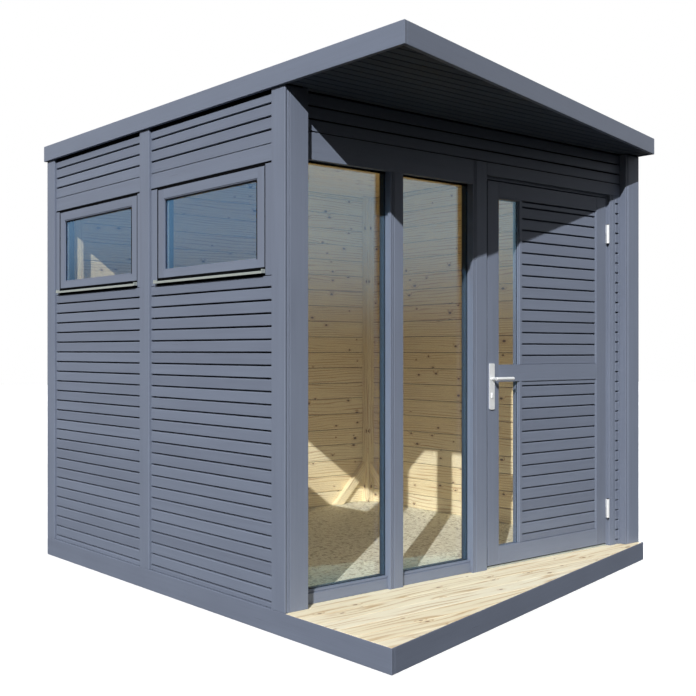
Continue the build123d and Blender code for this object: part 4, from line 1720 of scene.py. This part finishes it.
@dataclass(frozen=True)
class Door:
    """The hinged leaf with its louvred panels, glass strips and ironmongery."""

    layout: Layout
    finishes: Finishes
    x: Range = (0.044, 1.026)
    y: Range = (-0.750, -0.706)
    z: Range = (0.114, 2.056)
    bands: tuple[Range, Range] = ((0.204, 1.040), (1.127, 1.977))
    glass_top: float = 1.970
    glass_x: Range = (0.134, 0.280)
    louvre_x: Range = (0.305, 0.942)
    slats: Planking = Planking(
        pitch=0.05935, gap=0.008, thickness=0.016, slant=0.003, datum=0.026, ease=0.002, end_gap=0.0072
    )
    slat_set: float = 0.006
    backing_set: Range = (0.0162, 0.0182)
    panel_set: Range = (0.0184, 0.008)
    bead: float = 0.0065
    bead_set: Range = (0.006, 0.004)
    trim: float = 0.007
    trim_set: Range = (0.003, 0.012)
    seal: float = 0.002
    spacer_edge: Range = (0.001, 0.006)
    rebate: float = 0.003
    edge_seal: tuple[Range, Range, Range] = ((0.0432, 0.0444), (-0.747, -0.712), (0.118, 2.052))
    glass_line: GlassLine = GlassLine((-0.736, -0.730))
    hinge_xy: tuple[float, float] = (1.030, -0.7605)
    hinge_z: tuple[float, float] = (0.311, 1.855)
    barrel_half: float = 0.0521
    cap_radius: float = 0.0066
    cap_length: float = 0.004

    def build(self) -> None:
        """Builds the door."""
        self._leaf()
        self._louvres()
        self._glazing()
        self._hinges()
        self._handle()

    def _leaf(self) -> None:
        """Builds the stiles, rails and the bar between glass and louvres."""
        x0, x1 = self.x
        y, z, bead = self.y, self.z, self.bead
        left, right = (x0, self.glass_x[0] - bead), (self.louvre_x[1], x1)
        rails = ((z[0], self.bands[0][0]), (self.bands[0][1], self.bands[1][0]), (self.bands[1][1], z[1]))
        timbers = [Timber(left, y, z, Axis.Z), Timber(right, y, z, Axis.Z)]
        timbers += [Timber((left[1], right[0]), y, rail, Axis.X) for rail in rails]
        bar = (self.glass_x[1] + bead, self.louvre_x[0] + 0.003)
        timbers += [Timber(bar, y, band, Axis.Z) for band in self.bands]
        head = (self.glass_top, self.bands[1][1])
        timbers.append(Timber((left[1], bar[0]), (y[0] + 0.0005, y[1]), head, Axis.X))
        for band in self.bands:
            hole = (left[1], bar[0], *band)
            timbers += ring(hole, (y[0] + self.bead_set[0], self.glass_line.outside), 0.0, bead)[:2]
            timbers += ring(hole, (self.glass_line.inside, y[1] - self.bead_set[1]), 0.0, bead)[:2]
            hole = (*self.louvre_x, *band)
            timbers += ring(hole, (y[0] + self.trim_set[0], y[0] + self.trim_set[1]), 0.0, self.trim)[:2]
        dressing = self.finishes.painted("door_leaf", body=Body.DOOR)
        Joinery("door_leaf_timbers", tuple(timbers), dressing, 0.002, 2).build()

    def _louvres(self) -> None:
        """Lays the slanted slats and the panel behind them."""
        face = self.y[0] + self.slat_set
        backing_y = (face + self.backing_set[0], face + self.backing_set[1])
        panel_y = (face + self.panel_set[0], self.y[1] - self.panel_set[1])
        panels, screens = [], []
        for number, band in enumerate(self.bands):
            top = min(band[1], self.glass_top)
            planking = replace(self.slats, datum=top - self.slats.datum)
            run = BoardRun(self.louvre_x, (band[0] + 0.0005, top - 0.0005))
            name = ("lower", "upper")[number] + "_louvre_slats"
            dressing = self.finishes.painted("door_louvres", slot=Slot.CLADDING, body=Body.DOOR)
            BoardedFace(name, planking, Facing.FRONT, face, (run,), dressing).build()
            screens.append(Timber(self.louvre_x, backing_y, band, Axis.Z))
            panels.append(Timber(self.louvre_x, panel_y, band, Axis.Z))
        # The strip behind the slats takes the darker slate, painted shade in the gaps between them.
        dressing = Dressing.of(self.finishes.dark_paint, Slot.CLADDING, body=Body.DOOR)
        Joinery("louvre_backing", tuple(screens), dressing, 0.0005, 1).build()
        Joinery("louvre_back_panels", tuple(panels), self.finishes.painted(body=Body.DOOR), 0.001, 1).build()

    def _glazing(self) -> None:
        """Adds the panes, seals and spacers of the glass strips, and the black seal on the leaf's edge, which
        also paints in the shade of the gap there.
        """
        line = self.glass_line
        seals, bars, panes = [], [], []
        for band in self.bands:
            rise = (band[0], min(band[1], self.glass_top))
            hole = (*self.glass_x, *rise)
            seals += ring(hole, line.seal, 0.0, self.seal)[:2]
            bars += ring(hole, line.spacer, *self.spacer_edge)[:1]
            panes.append(Timber((hole[0] - self.rebate, hole[1] + self.rebate), line.pane, rise, Axis.Z))
        # The black seal beside the leaf's free edge is a weather seal that also paints in the shade of the
        # gap.
        seals.append(Timber(*self.edge_seal, Axis.Z))
        rubber = Dressing.of(self.finishes.rubber, Slot.GLASS, body=Body.DOOR)
        Joinery("door_glass_seals", tuple(seals), rubber, 0.0001, 1).build()
        metal = Dressing.of(self.finishes.spacer, Slot.GLASS, body=Body.DOOR)
        Joinery("door_glass_spacers", tuple(bars), metal, 0.0006, 1).build()
        glazed("door_glass_panes", panes, self.finishes.front_glass, "door_glass", Body.DOOR)

    def _hinges(self) -> None:
        """Turns the caps of the hinge barrels."""
        x, y = self.hinge_xy
        caps = {Body.DOOR: [], Body.POD: []}
        for centre in self.hinge_z:
            for body, way in ((Body.DOOR, 1), (Body.POD, -1)):
                start = Vector((x, y, centre + way * self.barrel_half))
                end = start + Vector((0.0, 0.0, way * self.cap_length))
                bar = Bench.round_bar(self.cap_radius, (start, end))
                caps[body].append(Bench.ease(bar, 0.0015, 2, -1))
        for body, parts in caps.items():
            piece = Bench.smooth(Bench.joined("hinge_caps_" + body.value, parts))
            Dressing((self.finishes.rubber,), Slot.METAL, body).put_on(piece)
        refinish(("hinge_leaf_halves", "hinge_jamb_halves"), self.finishes.steel)

    def _handle(self) -> None:
        """Refinishes the back plates and the lever."""
        refinish(("handle_plates", "lever_handle"), self.finishes.steel)


@dataclass(frozen=True)
class Porch:
    """Deck boards and the boarded soffit over them."""

    layout: Layout
    finishes: Finishes
    deck_pitch: float = 0.112
    soffit_pitch: float = 0.05604

    def build(self) -> None:
        """Builds the deck and the soffit."""
        plan = self.layout
        rake = plan.rake_away
        low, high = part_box("porch_deck")
        planking = Planking(
            self.deck_pitch, gap=0.0015, thickness=0.021, slant=0.0, datum=plan.front, end_gap=0.0
        )
        edge = Vector((low.x, low.y, 0.0))
        runs = (
            BoardRun((low.x, high.x), (low.y - 0.01, plan.front)),
            BoardRun((span("floor_panel", Axis.X)[0], high.x), (plan.front, high.y)),
        )
        dressing = Dressing.of(self.finishes.deck, Slot.DECK, "porch_deck")
        cuts = ((edge, rake),)
        BoardedFace("deck_boards", planking, Facing.UP, high.z, runs, dressing, cuts).build()
        low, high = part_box("soffit")
        planking = Planking(
            self.soffit_pitch, 0.006, 0.016, slant=0.004, datum=plan.front, ease=0.001, end_gap=0.0
        )
        run = BoardRun((low.x, high.x), (low.y - 0.01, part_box("header_cladding")[0].y - 0.001))
        edge = Vector((low.x, low.y, 0.0))
        # The soffit boards take the darker slate: painted shade under the canopy.
        dressing = Dressing.of(self.finishes.dark_paint, Slot.CLADDING, "soffit")
        BoardedFace("soffit_boards", planking, Facing.DOWN, low.z, (run,), dressing, ((edge, rake),)).build()


@dataclass(frozen=True)
class Roof:
    """Fascia boards and the flat roof."""

    layout: Layout
    finishes: Finishes

    def build(self) -> None:
        """Builds the roof."""
        grains = {"fascia_sides": Axis.Y, "fascia_front": Axis.X, "fascia_back": Axis.X}
        for node, grain in grains.items():
            board = Bench.ease(Bench.from_node(node), 0.0022, 2)
            Bench.lay_grain(board, grain, len(node) + 20)
            board.name = node.replace("fascia", "fascia_board")
            self.finishes.painted(node).put_on(board)
        refinish(("roof_membrane", "roof_deck"), self.finishes.membrane)


@dataclass(frozen=True)
class Room:
    """Lining boards, corner posts, floor and joists."""

    layout: Layout
    finishes: Finishes
    planking: Planking = Planking(
        pitch=0.110, gap=0.003, thickness=0.0135, slant=0.0, datum=0.0855, ease=0.003
    )

    def build(self) -> None:
        """Builds the room."""
        plan = self.layout
        pine = self.finishes.pine
        inner = (plan.left + plan.wall, plan.right - plan.wall)
        back = plan.back - plan.wall
        rise = (plan.floor + 0.001, plan.eaves - 0.001)
        front = plan.front + plan.wall
        window_low, window_high = span("window_frames", Axis.Z)
        runs = (
            BoardRun((front, back), (rise[0], window_low)),
            BoardRun((front, back), (window_high, rise[1])),
            BoardRun((plan.middle_front, plan.middle_back), (window_low, window_high)),
        )
        dressing = Dressing.of(pine, Slot.LINING, "left_lining")
        BoardedFace("left_lining_boards", self.planking, Facing.RIGHT, inner[0], runs, dressing).build()
        dressing = Dressing.of(pine, Slot.LINING, "right_lining")
        run = BoardRun((front, back), rise)
        BoardedFace("right_lining_boards", self.planking, Facing.LEFT, inner[1], (run,), dressing).build()
        dressing = Dressing.of(pine, Slot.LINING, "back_lining")
        run = BoardRun(inner, rise)
        BoardedFace("back_lining_boards", self.planking, Facing.FRONT, back, (run,), dressing).build()
        low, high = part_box("ceiling_panel")
        head = (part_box("header_cladding")[0].y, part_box("header_beam")[1].y)
        dressing = Dressing.of(pine, Slot.LINING, "ceiling_panel")
        planking = replace(self.planking, thickness=0.022, datum=plan.front, end_gap=0.0)
        run = BoardRun(inner, (head[1], back))
        BoardedFace("ceiling_boards", planking, Facing.DOWN, low.z, (run,), dressing).build()
        level = (low.z + 0.0005, high.z)
        plates = (
            Timber((low.x, inner[0]), (plan.front, high.y), level, Axis.Y),
            Timber((inner[1], high.x), (plan.front, high.y), level, Axis.Y),
            Timber((inner[0], inner[1]), (back, high.y), level, Axis.X),
            Timber((inner[0], inner[1]), head, level, Axis.X),
        )
        # The plates take black painted shade, so that the vent gap over the walls reads dark.
        Joinery("wall_plates", plates, Dressing.of(self.finishes.backing, Slot.CORE), 0.001, 1).build()
        self._corner_posts(inner, back, rise)
        refinish(("floor_panel",), self.finishes.chipboard)
        refinish(("base_joists",), self.finishes.raw)

    def _corner_posts(self, inner: Range, back: float, rise: Range) -> None:
        """Builds the posts in the rear corners and the battens at their feet."""
        size, reach, thick, wide = 0.060, 0.29, 0.036, 0.060
        corners = (inner[0], inner[1] - size)
        timbers = tuple(Timber((low, low + size), (back - size, back), rise, Axis.Z) for low in corners)
        dressing = Dressing.of(self.finishes.pine, Slot.LINING, "inner_corner_posts")
        Joinery("inner_posts", timbers, dressing, 0.003, 2).build()
        battens = []
        length = reach * math.sqrt(2.0) + wide
        drop = wide / 2 * math.sqrt(2.0)
        middle = rise[0] + reach / 2 - drop
        for number, (corner, side) in enumerate(((inner[0], 1), (inner[1], -1))):
            strut = Timber((-length / 2, length / 2), (0.0, thick), (-wide / 2, wide / 2), Axis.X)
            strip = Bench.squared(strut)
            Bench.ease(strip, 0.002, 1)
            Bench.lay_grain(strip, Axis.X, number)
            turn = Matrix.Rotation(math.radians(45.0 * side), 4, "Y")
            place = Matrix.Translation(Vector((corner + side * (size + reach / 2), back - thick, middle)))
            along_back = Bench.copied(strip, place @ turn, number + 3)
            Bench.cut(along_back, Vector((corner + side * size, 0.0, 0.0)), Vector((-side, 0.0, 0.0)))
            quarter = Matrix.Rotation(math.radians(-90.0 * side), 4, "Z")
            tilt = Matrix.Rotation(math.radians(45.0), 4, "X")
            place = Matrix.Translation(Vector((corner, back - size - reach / 2, middle)))
            along_side = Bench.copied(strip, place @ tilt @ quarter, number + 5)
            Bench.cut(along_side, Vector((0.0, back - size, 0.0)), Vector((0.0, 1.0, 0.0)))
            for batten in (along_back, along_side):
                Bench.cut(batten, Vector((0.0, 0.0, rise[0])), Vector((0.0, 0.0, -1.0)))
                battens.append(batten)
            bpy.data.objects.remove(strip)
        Dressing.of(self.finishes.pine, Slot.LINING).put_on(Bench.joined("post_foot_battens", battens))


def main() -> None:
    """Builds the pod in order."""
    logging.basicConfig(level=logging.INFO, format="%(name)s %(message)s")
    layout = Layout()
    finishes = Finishes()
    Studio().set_up()
    for assembly in (
        Shell(layout, finishes),
        SideWindows(layout, finishes),
        FrontWall(layout, finishes),
        Door(layout, finishes),
        Porch(layout, finishes),
        Roof(layout, finishes),
        Room(layout, finishes),
    ):
        assembly.build()
        log.info("built %s", type(assembly).__name__)
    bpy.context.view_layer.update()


if __name__ == "__main__":
    main()
